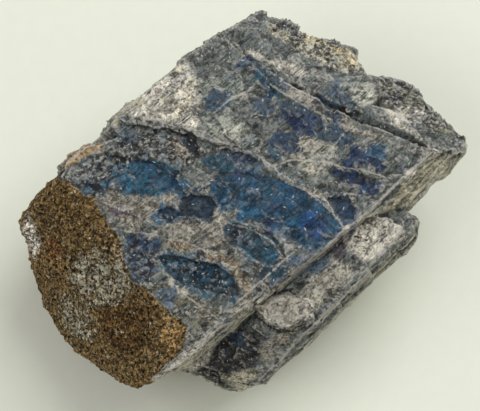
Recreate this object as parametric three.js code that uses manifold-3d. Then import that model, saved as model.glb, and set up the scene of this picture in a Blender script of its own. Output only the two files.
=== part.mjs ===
// Labradorite specimen: one loose cleavage chunk of feldspar that lies with its blue face up.
// Millimetres, +Z up. X runs along the long cleavage edges towards the freshly broken end,
// Y towards the high back edge. The stone rests on its flat underside at Z = 0, and the origin
// is under the middle of its outline. It is one solid, because the real stone is one piece.

import * as THREE from 'three';
import { ConvexGeometry } from 'three/addons/geometries/ConvexGeometry.js';
import { TessellateModifier } from 'three/addons/modifiers/TessellateModifier.js';
import { ImprovedNoise } from 'three/addons/math/ImprovedNoise.js';
import { mergeVertices } from 'three/addons/utils/BufferGeometryUtils.js';
import Module from 'manifold-3d';

const wasm = await Module();
wasm.setup();

// Driving dimensions
const TOP = 38.3; // height of the highest cleavage plane
const STEP = 0.9; // drop from the upper terrace to the blue field
const POOL = 0.35; // depth of the shallow pools below the ground round them
const NOTCH = 0.7; // depth of the darker, steeper notches
const SHELF_TOP = 33.5; // height of the ledge along the front, at its right end
const SHELF_FALL = 3; // how far that ledge falls towards its left end
const WALL_FOOT = 22; // height where the front wall starts to run back underneath
const END_TOP = 30.5; // outer height of the broken block at the right end
const RUST_FOOT = 12; // height of the widest bulge of the rusty left end
const LAYER = 2.2; // height of the notch under a layer
const LAYER_NOTCH = 1.3; // how far a layer stands out over the one below it on the walls
const FLANK_NOTCH = 0.8; // the same on the banded flank
const ABOVE = 60; // top of every cutting prism, clear of the stone

// Surface of the broken faces
const FACET_EDGE = 6.4; // longest edge of a facet
const FACET_PASSES = 12; // halvings allowed to reach that edge
const WAVE = 7.5; // spacing of the lumps and hollows
const ROUGH_TOP = 0.42; // how far the cleavage face wanders
const ROUGH_SIDE = 0.85; // how far the broken sides wander
const ROUGH_RUST = 1.15; // how far the weathered left end wanders
const BASE_FADE = 5; // height over which the roughness fades out to the flat underside
const WELD = 0.02; // points closer than this are one point

const FELDSPAR_GREY = 0x77786f;

function solidFrom(geometry) {
  geometry.deleteAttribute('normal');
  geometry.deleteAttribute('uv');
  const merged = mergeVertices(geometry, 1e-4);
  return new wasm.Manifold(
    new wasm.Mesh({
      numProp: 3,
      vertProperties: Float32Array.from(merged.attributes.position.array),
      triVerts: Uint32Array.from(merged.index.array),
    })
  );
}

// A flat-faced block around its corner points.
function block(corners) {
  return solidFrom(new ConvexGeometry(corners.map(([x, y, z]) => new THREE.Vector3(x, y, z))));
}

// A level list of corners, all at one height.
function level(z, outline) {
  return outline.map(([x, y]) => [x, y, z]);
}

// Height of the plane through three points.
function planeThrough(points) {
  const plane = new THREE.Plane().setFromCoplanarPoints(...points.map((p) => new THREE.Vector3(...p)));
  return (x, y) => (-plane.constant - plane.normal.x * x - plane.normal.y * y) / plane.normal.z;
}

// An upright prism over an outline, from one height or sloping plane to another.
function prism(outline, bottom, top) {
  const heightAt = (surface, x, y) => (typeof surface === 'number' ? surface : surface(x, y));
  const shape = new THREE.Shape(outline.map(([x, y]) => new THREE.Vector2(x, y)));
  const geometry = new THREE.ExtrudeGeometry(shape, { depth: 1, bevelEnabled: false });
  const place = geometry.attributes.position;
  for (let i = 0; i < place.count; i += 1) {
    const surface = place.getZ(i) > 0.5 ? top : bottom;
    place.setZ(i, heightAt(surface, place.getX(i), place.getY(i)));
  }
  return solidFrom(geometry);
}

// The thick slab that carries the cleavage face, with the rusty slope at its left end.
function mainBlock() {
  const crown = level(TOP, [
    [-30.8, 28], [-25.5, 31.6], [-4.5, 33], [7, 34.2], [17.5, 34.5], [26, 33.6], [34, 31.6],
    [37, 21], [40.4, 17], [43.4, 8.6], [42.4, 3], [41.6, -8], [41.8, -23.6],
    [20, -25.2], [-10, -23.6], [-26, -23.3], [-33.6, -20.5], [-34, -10], [-31.8, 5],
  ]);
  const shoulder = [
    [-45.2, 31.2, 26], [-40, 33.2, 24], [-20, 34, 28], [7, 35.8, 27], [19, 36.2, 26], [35, 33, 27],
    [41, 20, 26], [45, 8, 25], [-39, -24.6, 35.4], [-49.2, -20.4, 26], [-36, -24.6, 30],
  ];
  const bulge = [
    [-49.8, 21.5, RUST_FOOT + 4], [-53.2, 13, RUST_FOOT], [-53.6, 0.5, RUST_FOOT - 2],
    [-51.9, -9.5, RUST_FOOT], [-48, -17.5, RUST_FOOT + 2],
    [-30, 34, 12], [10, 35.5, 12], [33, 29.5, 10], [40, 12, 10],
  ];
  const underside = level(0, [
    [-46, 8], [-45, -7], [-39, 19], [-29, 27], [8, 31], [27, 26], [35, 9], [34, -13], [24, -22],
    [-30, -18], [-40, -14],
  ]);
  return block([...crown, ...shoulder, ...bulge, ...underside]);
}

// The lower block left standing at the back of the right end.
function endBlock() {
  return block([
    [39, -24.2, 36.2], [39, 4, 35], [44, 4.4, END_TOP + 1], [47.8, 0.2, END_TOP],
    [50.7, -6, END_TOP - 0.5], [51.6, -17, END_TOP], [52, -26.2, END_TOP + 0.5],
    [50, -27.6, END_TOP + 1], [51, -3, 20], [51.2, -15, 17], [50.4, -24, 18], [46, 6, 22],
    [42, -26, 16], ...level(0, [[36, 4], [37, -10], [33, -18], [24, 0]]),
  ]);
}

// The steep banded flank under the right half of the front edge.
function frontFlank() {
  return block([
    [18, -25, TOP - 0.4], [41.6, -23.8, TOP - 0.8], [51.6, -26.6, END_TOP], [31, -29, END_TOP - 1],
    [25, -27.6, END_TOP], [31.5, -28, 20], [49.5, -24.6, 20], ...level(0, [[30, -21], [36, -14], [18, -8]]),
    [20, -10, TOP - 1], [40, -10, TOP - 2.5],
  ]);
}

// The ledge along the front, nearly level with the slab at its right and falling to its left.
function frontLedge() {
  const left = SHELF_TOP - SHELF_FALL;
  return block([
    [21, -22, SHELF_TOP + 1], [12, -33.2, SHELF_TOP - 0.5], [22, -33.3, SHELF_TOP],
    [26, -34.4, SHELF_TOP - 2], [30, -30, SHELF_TOP - 2.5], [-7, -36.4, left], [-13.5, -36.2, left - 1.5],
    [-15.5, -28, left], [-20, -24.5, left], [-16, -20, left + 0.5],
    [-24.6, -38, WALL_FOOT - 2], [-15.4, -38.1, WALL_FOOT + 1], [-1.5, -37, WALL_FOOT],
    [20.5, -35.8, WALL_FOOT], [27.4, -35.7, WALL_FOOT + 4], [30.6, -32.8, WALL_FOOT + 4],
    [31.5, -30.5, WALL_FOOT], [-37, -21, 15], [-34.6, -26, 13], [-31.4, -31, 11], [-28.6, -34.6, 11],
    [-22, -35.4, 7], [22, -32.6, 9], [29.5, -28, 11],
    ...level(0, [[-30, -26], [-20, -30], [20, -28.5], [27, -24], [-32, -18], [-26, -8], [22, -12]]),
  ]);
}

// A worn pad that stands a little above the ledge: a wide foot and a smaller crown.
function pad(outline, foot, crown) {
  const average = (axis) => outline.reduce((sum, corner) => sum + corner[axis], 0) / outline.length;
  const middle = [average(0), average(1)];
  const drawIn = (share) => outline.map(([x, y]) => [
    middle[0] + (x - middle[0]) * share,
    middle[1] + (y - middle[1]) * share,
  ]);
  return block([
    ...level(foot, outline),
    ...level(foot + (crown - foot) * 0.7, drawIn(0.93)),
    ...level(crown, drawIn(0.66)),
  ]);
}

function addedForms() {
  const ledgePad = pad(
    [
      [-15.4, -23.4], [-10.6, -24], [-5.5, -28.5], [-3.4, -32], [-6.8, -35.8], [-10.9, -35.2],
      [-14.6, -33], [-16.9, -28.6],
    ],
    29.5, 33.6
  );
  const smallPad = pad([[-23, -21.6], [-16.2, -21], [-13.6, -22.6], [-16.8, -25], [-23, -25]], 29.5, 33.4);
  const backSliver = prism([[-31, 30], [-24, 31], [-22.6, 32.8], [-26, 33.6], [-31.4, 32.2]], 32.5, 35.6);
  const backPlate = prism([[-16, 30], [-5, 32], [-5.6, 34.4], [-10, 34.4], [-16.4, 33]], 31.5, 35.2);
  const sharpPlate = prism(
    [[33, -2], [35.4, 5], [40.8, 1.6], [42.4, -1.4], [42.2, -3.4], [38, -4.8]], 34.6, 37.2
  );
  const crumbs = block([
    [38, 9, 33.5], [38.5, 17, 34.4], [41.4, 17.6, 33], [45.4, 12.4, 32.6], [46, 9.4, 31.8], [43, 5.4, 33],
    [40, 14, 24], [43, 15, 27], [44.4, 9, 26], [41, 7, 24],
  ]);
  const backFoot = block([
    ...level(0, [[-22, 26], [2, 34], [18, 33], [20, 24]]),
    ...level(9, [[-19, 34], [1, 37.4], [17, 36], [19, 28]]),
    ...level(13, [[-16, 33], [0, 35.5], [15, 34.5]]),
  ]);
  return [ledgePad, smallPad, backSliver, backPlate, sharpPlate, crumbs, backFoot];
}

// Every step, field, groove and recess: its outline, and the height or slope of its floor.
function cutForms() {
  const field = TOP - STEP;
  const blueField = prism(
    [
      [-13, 36], [-10.4, 30.2], [-8.7, 28], [-4.8, 23.8], [-2.3, 20.7], [0.4, 16.5], [3.5, 11.7],
      [6.4, 6.2], [7.8, 1.2], [8.7, -3.2], [10.8, -10], [13.2, -17.9], [15.7, -24], [16, -45],
      [-60, -45], [-60, 45], [-16, 45],
    ],
    planeThrough([[0, 16, field], [-30, 0, field + 0.5], [12, -22, field + 0.7]]), ABOVE
  );
  const hollowBehind = prism(
    [
      [-27, 29], [-22, 29.5], [-19.6, 27.6], [-16.6, 23.5], [-13.4, 19.9], [-9.8, 16.2], [-8.8, 12.6],
      [-12.5, 10.8], [-18, 12], [-22, 15.5], [-27.5, 20],
    ],
    planeThrough([[-17, 24, field - POOL], [-10, 14, field - POOL], [-26, 18, field + 0.3]]), ABOVE
  );
  const darkNotch = prism(
    [[-7.5, 25.4], [-4.8, 23.8], [-2.3, 20.8], [0.4, 16.6], [-3.1, 12.3], [-3.7, 16.6], [-6.4, 20.4]],
    field - NOTCH, ABOVE
  );
  const darkLobes = prism(
    [
      [-15.9, 4.2], [-12.8, 7.1], [-10.7, 6.4], [-8.1, 4.3], [-6.7, 2.8], [-7.2, 0], [-10.7, -2],
      [-13, 0.6],
    ],
    planeThrough([[-11, 6.5, field - NOTCH], [-7, 1.5, field - NOTCH], [-13, -1, field]]), ABOVE
  );
  const smallNotch = prism([[-19.9, 7.4], [-16.8, 7.9], [-14.8, 3.8], [-18.4, 4.2]], field - POOL, ABOVE);
  const middleField = prism(
    [
      [-9.6, -2.4], [-8.8, -4.8], [-6.2, -6.9], [-4.9, -9.8], [-1.7, -13.3], [-1.6, -18], [-4.2, -22.4],
      [-7.6, -20.6], [-9.8, -14.6], [-11, -7],
    ],
    planeThrough([[-6, -7, field - POOL], [-2, -14, field - POOL], [-10, -15, field + 0.3]]), ABOVE
  );
  const leftField = prism(
    [
      [-26.4, -0.6], [-24.2, -1.6], [-21.4, -4.6], [-19.3, -8.1], [-16.8, -11.4], [-15.6, -16], [-17.6, -21],
      [-21.8, -17.4], [-25.4, -10.8], [-27.4, -5],
    ],
    planeThrough([[-24, -2, field - NOTCH], [-17, -12, field - POOL], [-26, -13, field + 0.3]]), ABOVE
  );
  const roundPit = prism(
    [[14.2, -15.8], [16.8, -17.2], [18.3, -20], [17.9, -22.4], [15.6, -24.2], [13.7, -22.6], [13.4, -19]],
    TOP - NOTCH, ABOVE
  );
  const rightField = prism(
    [
      [10.7, 18.2], [13.6, 17.9], [16.4, 15.9], [19.3, 15.7], [22.9, 12.3], [25.5, 6.4], [27.1, 1.4],
      [23, -6], [15, -5], [11, 3], [8.6, 11],
    ],
    planeThrough([[17, 16, TOP - POOL], [26, 4, TOP - POOL], [12, 0, TOP]]), ABOVE
  );
  const rightStrip = prism(
    [[18.6, -10.6], [22.4, -13.4], [24, -16.6], [27.6, -19.6], [24, -21.4], [22, -18.4], [19, -14.4]],
    planeThrough([[19, -12, TOP - POOL], [27, -19.5, TOP - POOL], [21, -19, TOP - 0.2]]), ABOVE
  );
  const highTerrace = prism(
    [[18.4, 27], [20.3, 24.3], [21, 21.8], [22.6, 18], [18.6, 17.6], [14.6, 21], [13.6, 26]],
    planeThrough([[19, 26, TOP - POOL], [22, 19, TOP - POOL], [14, 21, TOP]]), ABOVE
  );
  const backField = prism(
    [
      [20, 45], [23, 31], [22.4, 24], [22.8, 19.3], [26, 13.2], [28.2, 5.6], [29.9, -0.3], [32.8, -6.3],
      [36.4, -12.3], [39.6, -19.4], [42.4, -23.2], [60, -23.2], [60, 45],
    ],
    planeThrough([[26, 12, TOP - 1.3], [40, -19, TOP - 1.4], [40, 10, TOP - 1.6]]), ABOVE
  );
  const ridgeGroove = prism(
    [
      [26, 13.2], [28.2, 5.6], [29.9, -0.3], [32.8, -6.3], [36.4, -12.3], [39.6, -19.4], [42.4, -23.2],
      [41.6, -19.6], [39.3, -13], [36.2, -5.9], [32.4, 1.2], [30.7, 6], [29.6, 11],
    ],
    planeThrough([[28.2, 5.6, TOP - 3], [36.4, -12.3, TOP - 3], [34.4, -1.7, TOP - 1.4]]), ABOVE
  );
  const crumbledCorner = block([
    [24.8, 31, TOP], [28.4, 18.3, TOP - 0.6], [36.6, 6, TOP - 1.6], [33.6, 33, TOP - 3.8],
    [38.4, 22.4, TOP - 4.6], [42, 18, TOP - 4.8], [45.4, 9, TOP - 5], [44.4, 2.4, TOP - 3.4],
    [24.8, 31, ABOVE], [36.6, 6, ABOVE], [60, 60, ABOVE], [60, 0, ABOVE], [30, 60, ABOVE],
    [60, 60, TOP - 9], [60, 2, TOP - 8], [32, 60, TOP - 5],
  ]);
  const underSharpPlate = prism(
    [[38, -4.9], [42.4, -3.5], [43, -1], [48, -1], [48, -9], [41.6, -10]], 33.4, ABOVE
  );
  const ledgeEnd = prism(
    [[20.6, -25.6], [22.3, -28], [23.7, -31.6], [23.2, -40], [40, -40], [40, -29.2], [30.6, -28.8]],
    31.2, ABOVE
  );
  const ledgeSlit = prism([[-15.8, -21.4], [-8.2, -22], [-9.6, -25.4], [-14.8, -24.8]], 29.2, field - 2.4);
  return [
    blueField, hollowBehind, darkNotch, darkLobes, smallNotch, middleField, leftField, roundPit, rightField,
    rightStrip, highTerrace, backField, ridgeGroove, crumbledCorner, underSharpPlate, ledgeEnd, ledgeSlit,
    ...sideBreaks(),
  ];
}

// Flat breaks and shallow steps on the back, the ends and the foot of the stone.
function sideBreaks() {
  const backStep = prism([[-14, 33.2], [13, 35], [13, 42], [-14, 42]], 17, 30);
  const edgeNotch = prism([[-21, 31.4], [-14, 29.4], [-12.6, 37], [-22, 38]], 29, ABOVE);
  const backCorner = block([
    [14, 37.5, 31], [34, 33.8, 33], [38, 24, 30], [16, 45, 31], [45, 40, 33], [50, 25, 30],
    [18, 37, 14], [35, 31, 12], [39, 20, 14], [18, 45, 8], [45, 40, 6], [50, 20, 8],
  ]);
  const rightStep = prism([[48.4, -30], [47.4, 3], [60, 3], [60, -30]], 4, 22.5);
  const undercutRight = block([
    [45, 6, 15], [46.5, -27, 15], [37.5, 6, 3], [38, -27, 3], [60, 6, 15], [60, -27, 15], [60, 6, -5],
    [60, -27, -5], [37, 6, -5], [37, -27, -5],
  ]);
  return [backStep, edgeNotch, backCorner, rightStep, undercutRight, ...layerGrooves()];
}

// A notch of three-cornered section along a line on a wall, under the layer above it.
function layerGroove(start, end, inward, depth, height) {
  const along = [new THREE.Vector3(...start), new THREE.Vector3(...end)];
  const into = new THREE.Vector3(...inward).normalize();
  const corners = along.flatMap((point) => [
    point.clone().addScaledVector(into, -3),
    point.clone().addScaledVector(into, depth),
    point.clone().addScaledVector(into, -3).setZ(point.z - height * 2.4),
    point.clone().addScaledVector(into, depth * 0.2).setZ(point.z - height),
  ]);
  return block(corners.map((corner) => corner.toArray()));
}

// The layering that shows along the flank, the ledge's wall and the edge of the slab.
function layerGrooves() {
  const flankTop = [new THREE.Vector3(21, -25.6, TOP - 0.8), new THREE.Vector3(42, -24.4, TOP - 1)];
  const flankFoot = [new THREE.Vector3(32, -28.8, END_TOP - 1), new THREE.Vector3(51, -26.6, END_TOP)];
  const flank = [0.28, 0.52, 0.8].map((share) => {
    const ends = flankTop.map((point, i) => point.clone().lerp(flankFoot[i], share).toArray());
    return layerGroove(ends[0], ends[1], [0.1, 0.95, -0.3], FLANK_NOTCH, LAYER * 0.5);
  });
  const ledge = [
    layerGroove([-14, -37, 28.4], [12, -34.4, 30], [0, 1, 0], LAYER_NOTCH, LAYER),
    layerGroove([2, -35.9, 26.2], [27, -35.2, 27.6], [0, 1, 0], LAYER_NOTCH, LAYER),
    layerGroove([-22, -37.6, 15.5], [22, -34.6, 16], [0, 1, 0], LAYER_NOTCH, LAYER),
  ];
  const back = [
    layerGroove([-38, 33.8, 23], [-16, 34.4, 23.6], [0, -1, 0], LAYER_NOTCH, LAYER),
    layerGroove([-36, 33.4, 10.5], [-20, 34.2, 11], [0, -1, 0], LAYER_NOTCH, LAYER),
  ];
  const slabEdge = [layerGroove([-37, -24.4, 33.6], [-19, -23.8, 34], [0, 1, 0], FLANK_NOTCH, LAYER * 0.6)];
  return [...flank, ...ledge, ...back, ...slabEdge];
}

function smoothStep(from, to, value) {
  const t = THREE.MathUtils.clamp((value - from) / (to - from), 0, 1);
  return t * t * (3 - 2 * t);
}

// How far the surface wanders at a place: least on the cleavage face, most on the rusty end.
function roughnessAt(x, y, z) {
  const onTop = smoothStep(33, 35, z);
  const onRust = smoothStep(-30, -40, x);
  const broken = THREE.MathUtils.lerp(ROUGH_SIDE, ROUGH_TOP, onTop);
  return THREE.MathUtils.lerp(broken, ROUGH_RUST, onRust) * smoothStep(0.5, BASE_FADE, z);
}

// Lumps and hollows on the broken faces, from noise that depends on the place alone.
function roughen(geometry) {
  const noise = new ImprovedNoise();
  const place = geometry.attributes.position;
  const point = new THREE.Vector3();
  const shiftAlong = (axis) => {
    const offset = 31.7 * (axis + 1);
    const sample = (wave) =>
      noise.noise(point.x / wave + offset, point.y / wave - offset, point.z / wave + offset / 2);
    return sample(WAVE) + 0.5 * sample(WAVE / 2.1);
  };
  for (let i = 0; i < place.count; i += 1) {
    point.fromBufferAttribute(place, i);
    const reach = roughnessAt(point.x, point.y, point.z);
    place.setXYZ(
      i,
      point.x + reach * shiftAlong(0),
      point.y + reach * shiftAlong(1),
      point.z + reach * shiftAlong(2)
    );
  }
}

// Triangles whose three corners are still three points after welding.
function withoutSlivers(geometry) {
  const corners = geometry.index.array;
  const kept = [];
  for (let i = 0; i < corners.length; i += 3) {
    const [a, b, c] = [corners[i], corners[i + 1], corners[i + 2]];
    if (a !== b && b !== c && a !== c) {
      kept.push(a, b, c);
    }
  }
  geometry.setIndex(kept);
  return geometry;
}

function stoneGeometry() {
  const blocks = [mainBlock(), endBlock(), frontFlank(), frontLedge()];
  const body = blocks.reduce((whole, next) => whole.add(next));
  const cut = cutForms().reduce((whole, next) => whole.subtract(next), body);
  const stone = addedForms().reduce((whole, next) => whole.add(next), cut);
  const mesh = stone.getMesh();
  const raw = new THREE.BufferGeometry();
  const corners = Float32Array.from(mesh.vertProperties);
  raw.setAttribute('position', new THREE.BufferAttribute(corners, mesh.numProp));
  raw.setIndex(Array.from(mesh.triVerts));
  const welded = withoutSlivers(mergeVertices(raw, WELD));
  const fine = new TessellateModifier(FACET_EDGE, FACET_PASSES).modify(welded);
  const geometry = withoutSlivers(mergeVertices(fine, WELD / 4));
  roughen(geometry);
  geometry.computeBoundingBox();
  const middle = geometry.boundingBox.getCenter(new THREE.Vector3());
  geometry.translate(-middle.x, -middle.y, -geometry.boundingBox.min.z);
  geometry.computeVertexNormals();
  return geometry;
}

const specimen = new THREE.Group();
const stone = new THREE.Mesh(
  stoneGeometry(),
  new THREE.MeshStandardMaterial({ color: FELDSPAR_GREY, roughness: 0.5, metalness: 0 })
);
stone.name = 'labradorite_stone';
specimen.add(stone);

export default specimen;
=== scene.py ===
import math
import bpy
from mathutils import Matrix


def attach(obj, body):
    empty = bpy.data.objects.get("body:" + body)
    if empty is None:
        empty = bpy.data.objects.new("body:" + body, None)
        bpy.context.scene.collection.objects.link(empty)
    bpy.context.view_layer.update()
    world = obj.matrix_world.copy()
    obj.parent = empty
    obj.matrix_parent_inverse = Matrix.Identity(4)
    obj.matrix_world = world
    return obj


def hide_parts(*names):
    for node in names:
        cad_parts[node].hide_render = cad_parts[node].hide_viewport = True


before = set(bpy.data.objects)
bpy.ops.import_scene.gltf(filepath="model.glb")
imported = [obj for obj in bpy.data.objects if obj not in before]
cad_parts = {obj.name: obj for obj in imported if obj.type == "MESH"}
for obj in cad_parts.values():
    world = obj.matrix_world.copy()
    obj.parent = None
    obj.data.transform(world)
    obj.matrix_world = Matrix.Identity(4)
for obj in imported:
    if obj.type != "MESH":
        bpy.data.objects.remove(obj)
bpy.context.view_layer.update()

from types import SimpleNamespace

import bpy
import numpy as np
from bpy.props import FloatProperty, FloatVectorProperty, IntProperty, PointerProperty
from mathutils import Vector, noise

bl_info = {
    "name": "Labradorite Specimen",
    "version": (1, 0, 0),
    "blender": (4, 5, 0),
    "location": "3D Viewport > Sidebar > Labradorite",
    "description": "Carves, colours and lights a cleavage chunk of labradorite",
    "category": "Object",
}

CAD_NODE = "labradorite_stone"
STONE = "dressed_stone"
MM = 0.001

# The outlines below are in millimetres on the face, seen from above, from this spot of the stone's frame.
OUTLINE_CENTRE = np.array([1.145, 0.333, 0.0])

# Direction in which the steps and ribs run over the face, and how much longer than wide the flakes are.
RIB_ANGLE = math.radians(-67)
RIB_STRETCH = 0.6

# Blue play of colour, a sheen painted into the colour: a colour and an outline for each pool of it. Later
# ones lie over earlier ones.
FLASH = {
    "left lagoon": ("teal", [
        (-22.5, 23.5), (-19.5, 22), (-15.5, 21.5), (-13.5, 20), (-12, 18), (-10.5, 15), (-9, 13),
        (-12.5, 12.5), (-12.5, 11.5), (-16, 11), (-18, 13), (-20, 15.5), (-22, 16.5), (-22.5, 19.5),
        (-23, 22)]),
    "east of the left lagoon": ("blue", [
        (-15, 20.5), (-12, 18), (-10.5, 15), (-9, 13), (-12.5, 12.5), (-12.5, 11.5), (-15, 11.3), (-16, 15)]),
    "west of the left lagoon": ("sea", [
        (-27.5, 24.5), (-25, 23.5), (-23, 21.5), (-24, 20.5), (-28, 21), (-29.5, 23)]),
    "dark lobes": ("ink", [
        (-12.5, 7), (-10.5, 6.5), (-8, 4.5), (-7, 3), (-7, 0.5), (-11, -2), (-12.5, 0), (-15, 2.5),
        (-15.5, 4.5), (-13, 6)]),
    "small notch": ("blue", [(-19.5, 7.5), (-16.5, 8), (-15, 5.5), (-15, 3.5), (-16.5, 3), (-19, 5)]),
    "main field": ("blue", [
        (-6.5, 3), (-5, 4.5), (0, 5.5), (2, 2), (4, 2), (7, -2), (9, -5), (10, -9.5), (11, -14), (12.5, -17),
        (12, -22.5), (11.5, -24), (6.5, -23.5), (3.5, -24), (2.5, -21.5), (1.5, -18), (1, -15.5),
        (-0.5, -13.5), (-1, -11), (-4, -6.5), (-4, -4), (-6, -2), (-7, 0.5)]),
    "bright west part": ("bright_teal", [
        (-3.5, -3.5), (-1.5, -4.5), (0.5, -6.5), (-1, -8), (-3, -7.5), (-4.5, -5.5)]),
    "bright north-west part": ("teal", [(-3.5, 1), (-1.5, 0.5), (-1, -1.5), (-2.5, -2), (-4, -0.5)]),
    "bright middle part": ("teal", [(3.5, -3), (5.5, -4), (5, -6.5), (3, -7.5), (2, -6)]),
    "deep middle part": ("deep_blue", [(3, -7), (5, -8.5), (4.5, -10.5), (2.5, -10.5), (1.5, -9)]),
    "dark middle part": ("deep_blue", [(-1.5, -10), (1, -11), (1, -13.5), (-1.5, -13.5), (-2.5, -12)]),
    "east part": ("blue", [(8, -7.5), (10.5, -8.5), (11.5, -12), (10, -13), (8, -10.5)]),
    "royal pool": ("royal", [
        (5, -15.5), (8, -15), (10.5, -16.5), (10.5, -20), (8.5, -22.5), (5, -22.5), (4, -19.5)]),
    "grey arch": ("pale_slate", [(-1, -14), (1.5, -14), (3, -15.5), (3, -17.5), (0.5, -16.5)]),
    "upper field": ("pale_slate", [
        (1, 8.5), (2, 9), (4, 8), (6, 5.5), (7, 3), (7.5, 1.5), (5, 2.5), (3.5, 4), (1, 7)]),
    "east of the upper field": ("navy", [(4, 8), (6, 5.5), (7, 3), (7.5, 1.5), (5, 2.5), (4, 5)]),
    "line under the upper field": ("navy", [(-1, 6), (0.5, 5), (2, 3.5), (3, 1.5), (2, 1.5), (0, 4)]),
    "middle pool": ("sea", [
        (-9.5, -5.5), (-7, -6.5), (-5.5, -9), (-4, -11.5), (-3, -15), (-3.5, -20), (-7, -21), (-7, -18),
        (-9.5, -15), (-10, -10)]),
    "head of the middle pool": ("slate", [(-9.5, -5.5), (-7, -6.5), (-5.5, -9), (-7, -11), (-10, -10)]),
    "bright foot of the middle pool": ("cyan", [
        (-7, -17.5), (-4.5, -17.5), (-4, -20), (-6.5, -21), (-7.5, -19.5)]),
    "pool beside the rust": ("slate_blue", [
        (-28.5, 7), (-26, 5.5), (-25, 3), (-25, 1), (-27.5, 0.5), (-29.5, 1.5), (-31.5, 3), (-31.5, 5)]),
    "scaly spot beside the rust": ("slate", [
        (-32.5, 2.5), (-29, -1), (-30.5, -3.5), (-33, -3), (-34.5, -0.5)]),
    "left pool": ("sea", [
        (-26, -1.5), (-24, -2), (-20, -7), (-17, -11), (-16.5, -14.5), (-17.5, -18.5), (-19.5, -20.5),
        (-22, -17.5), (-25, -11.5), (-26.5, -9), (-26.5, -5.5)]),
    "bright heart of the left pool": ("bright_teal", [
        (-21.5, -7.5), (-19, -8.5), (-17.5, -11), (-19, -13), (-21.5, -12.5), (-22.5, -10)]),
    "faint pool": ("pale_slate", [(-31, -8.5), (-29, -10), (-29.5, -11), (-32, -11.5)]),
    "navy blot": ("navy", [(21.5, 5), (24, 5), (25.5, 2.5), (24.5, 0.5), (21.5, 0.5), (20.5, 2.5)]),
    "faint navy blot": ("slate", [(21, 9), (23, 8.5), (24.5, 6), (23.5, 4), (21.5, 6)]),
    "navy dot": ("navy", [(18, 13), (19.5, 12.5), (19, 11), (17.5, 10.5)]),
    "navy chain": ("slate_blue", [(15, 4), (17, 4), (17, 1.5), (16, -0.5), (14.5, 0.5)]),
    "foot of the chain": ("sea", [(11.5, 1.5), (13, 1), (12.5, -0.5), (11, -0.5)]),
    "slate patch": ("slate", [(8, 22.5), (10.5, 22.5), (12.5, 20), (10.5, 18), (7.5, 18.5), (7, 21)]),
    "right strip": ("deep_blue", [
        (19.5, -11.5), (22.5, -14), (23.5, -16.5), (26, -20), (24.5, -22), (22.5, -21), (22, -18.5),
        (20, -14.5)]),
    "beside the right strip": ("slate_blue", [(23.5, -12), (25.5, -13), (26, -15), (25, -15), (23, -13.5)]),
    "right patch": ("blue", [(28, -12.5), (30.5, -13.5), (32, -16), (30.5, -16), (28, -14)]),
    "round pit": ("slate_blue", [
        (14, -16.5), (17, -17.5), (18, -20), (17.5, -22), (15.5, -24.5), (14, -25), (14.5, -23),
        (14, -19.5)]),
    "ridge pool": ("sea", [(22.5, 19), (24, 19), (25.5, 16), (24, 14.5), (22.5, 16.5)]),
    "upper ridge pool": ("slate", [(21, 24.5), (23.5, 24), (24, 22), (22, 20.5), (21, 22)]),
    "lower ridge pool": ("slate", [(24, 15), (25.5, 13.5), (25, 11.5), (23.5, 13)]),
    "dark head of the groove": ("black", [
        (28, 4.5), (31, 4), (31.5, 2), (31, 0.5), (28.5, 0.5), (27.5, 2.5)]),
    "blue spot in the groove": ("pale_slate", [(34, 5.5), (35.5, 5), (35, 3.5), (33.5, 3.5)]),
    "slate in the groove": ("pale_slate", [(33, 2), (35.5, 1), (36, -2), (34.5, -3), (33, -1)]),
    "floor of the groove": ("dark_slate", [
        (33.5, -2.5), (35, -5.5), (37.5, -10.5), (39, -14.5), (41.5, -19), (42, -23), (40, -20.5),
        (37.5, -17), (35.5, -12.5), (33.5, -9), (32, -4.5)]),
    "front blue": ("pale_slate", [(-3.5, -21.5), (-1.5, -22.5), (0, -25), (-3.5, -24)]),
    "small front blue": ("blue", [(-10.5, -19), (-8.5, -19.5), (-9, -21), (-11, -21)]),
    "front slate": ("slate", [(-8.5, -22), (-7, -22.5), (-7, -25), (-9.5, -24)]),
    "corner blue": ("slate", [(-13.5, 28.5), (-11.5, 28), (-11, 26), (-12.5, 25.5), (-14, 27)]),
    "blot on the terrace": ("navy", [(21.5, 8), (24, 5.5), (23.5, 1), (21, 0), (19.5, 3.5), (19.5, 6.5)]),
    "long ridge pool": ("sea", [(22.5, 19.5), (24, 16), (24, 12), (22, 12.5), (21, 16.5)]),
    "head of the groove": ("slate_blue", [(30, 6), (31.5, 2.5), (32.5, -1.5), (29.5, -2), (28.5, 2)]),
    "middle of the terrace": ("slate_blue", [(16, 4), (18.5, 0.5), (17, -2), (14, -0.5), (13.5, 2.5)]),
    "right of the terrace": ("slate", [(25.5, -0.5), (28, -4), (28.5, -8), (25.5, -7.5), (23.5, -3)]),
    "long right strip": ("navy", [(27, -10.5), (29.5, -15), (30, -18.5), (27, -16), (25, -12.5)]),
    "dot on the terrace": ("slate", [(17.5, 14.5), (19.5, 12), (18.5, 9.5), (16, 11.5)]),
    "tail of the middle pool": ("sea", [
        (-7.5, -10), (-5.5, -13), (-5.5, -22.5), (-6, -24), (-9, -23.5), (-8, -18), (-9, -13.5)]),
    "beside the lagoon": ("blue", [(-11.5, 16.5), (-9.5, 13), (-10, 9), (-12.5, 8), (-14.5, 11.5)]),
    "under the field's head": ("sea", [(-2, 10.5), (1.5, 9), (3, 5), (0.5, 3.5), (-3, 6.5)]),
    "blue on the ledge": ("pale_slate", [(0, -24), (5, -25), (5.5, -27.5), (1.5, -27)]),
    "blue on the ledge's end": ("slate_blue", [
        (-24, -24.5), (-22, -26.5), (-22, -28), (-23.5, -27.5), (-24.5, -25.5)]),
}
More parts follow.
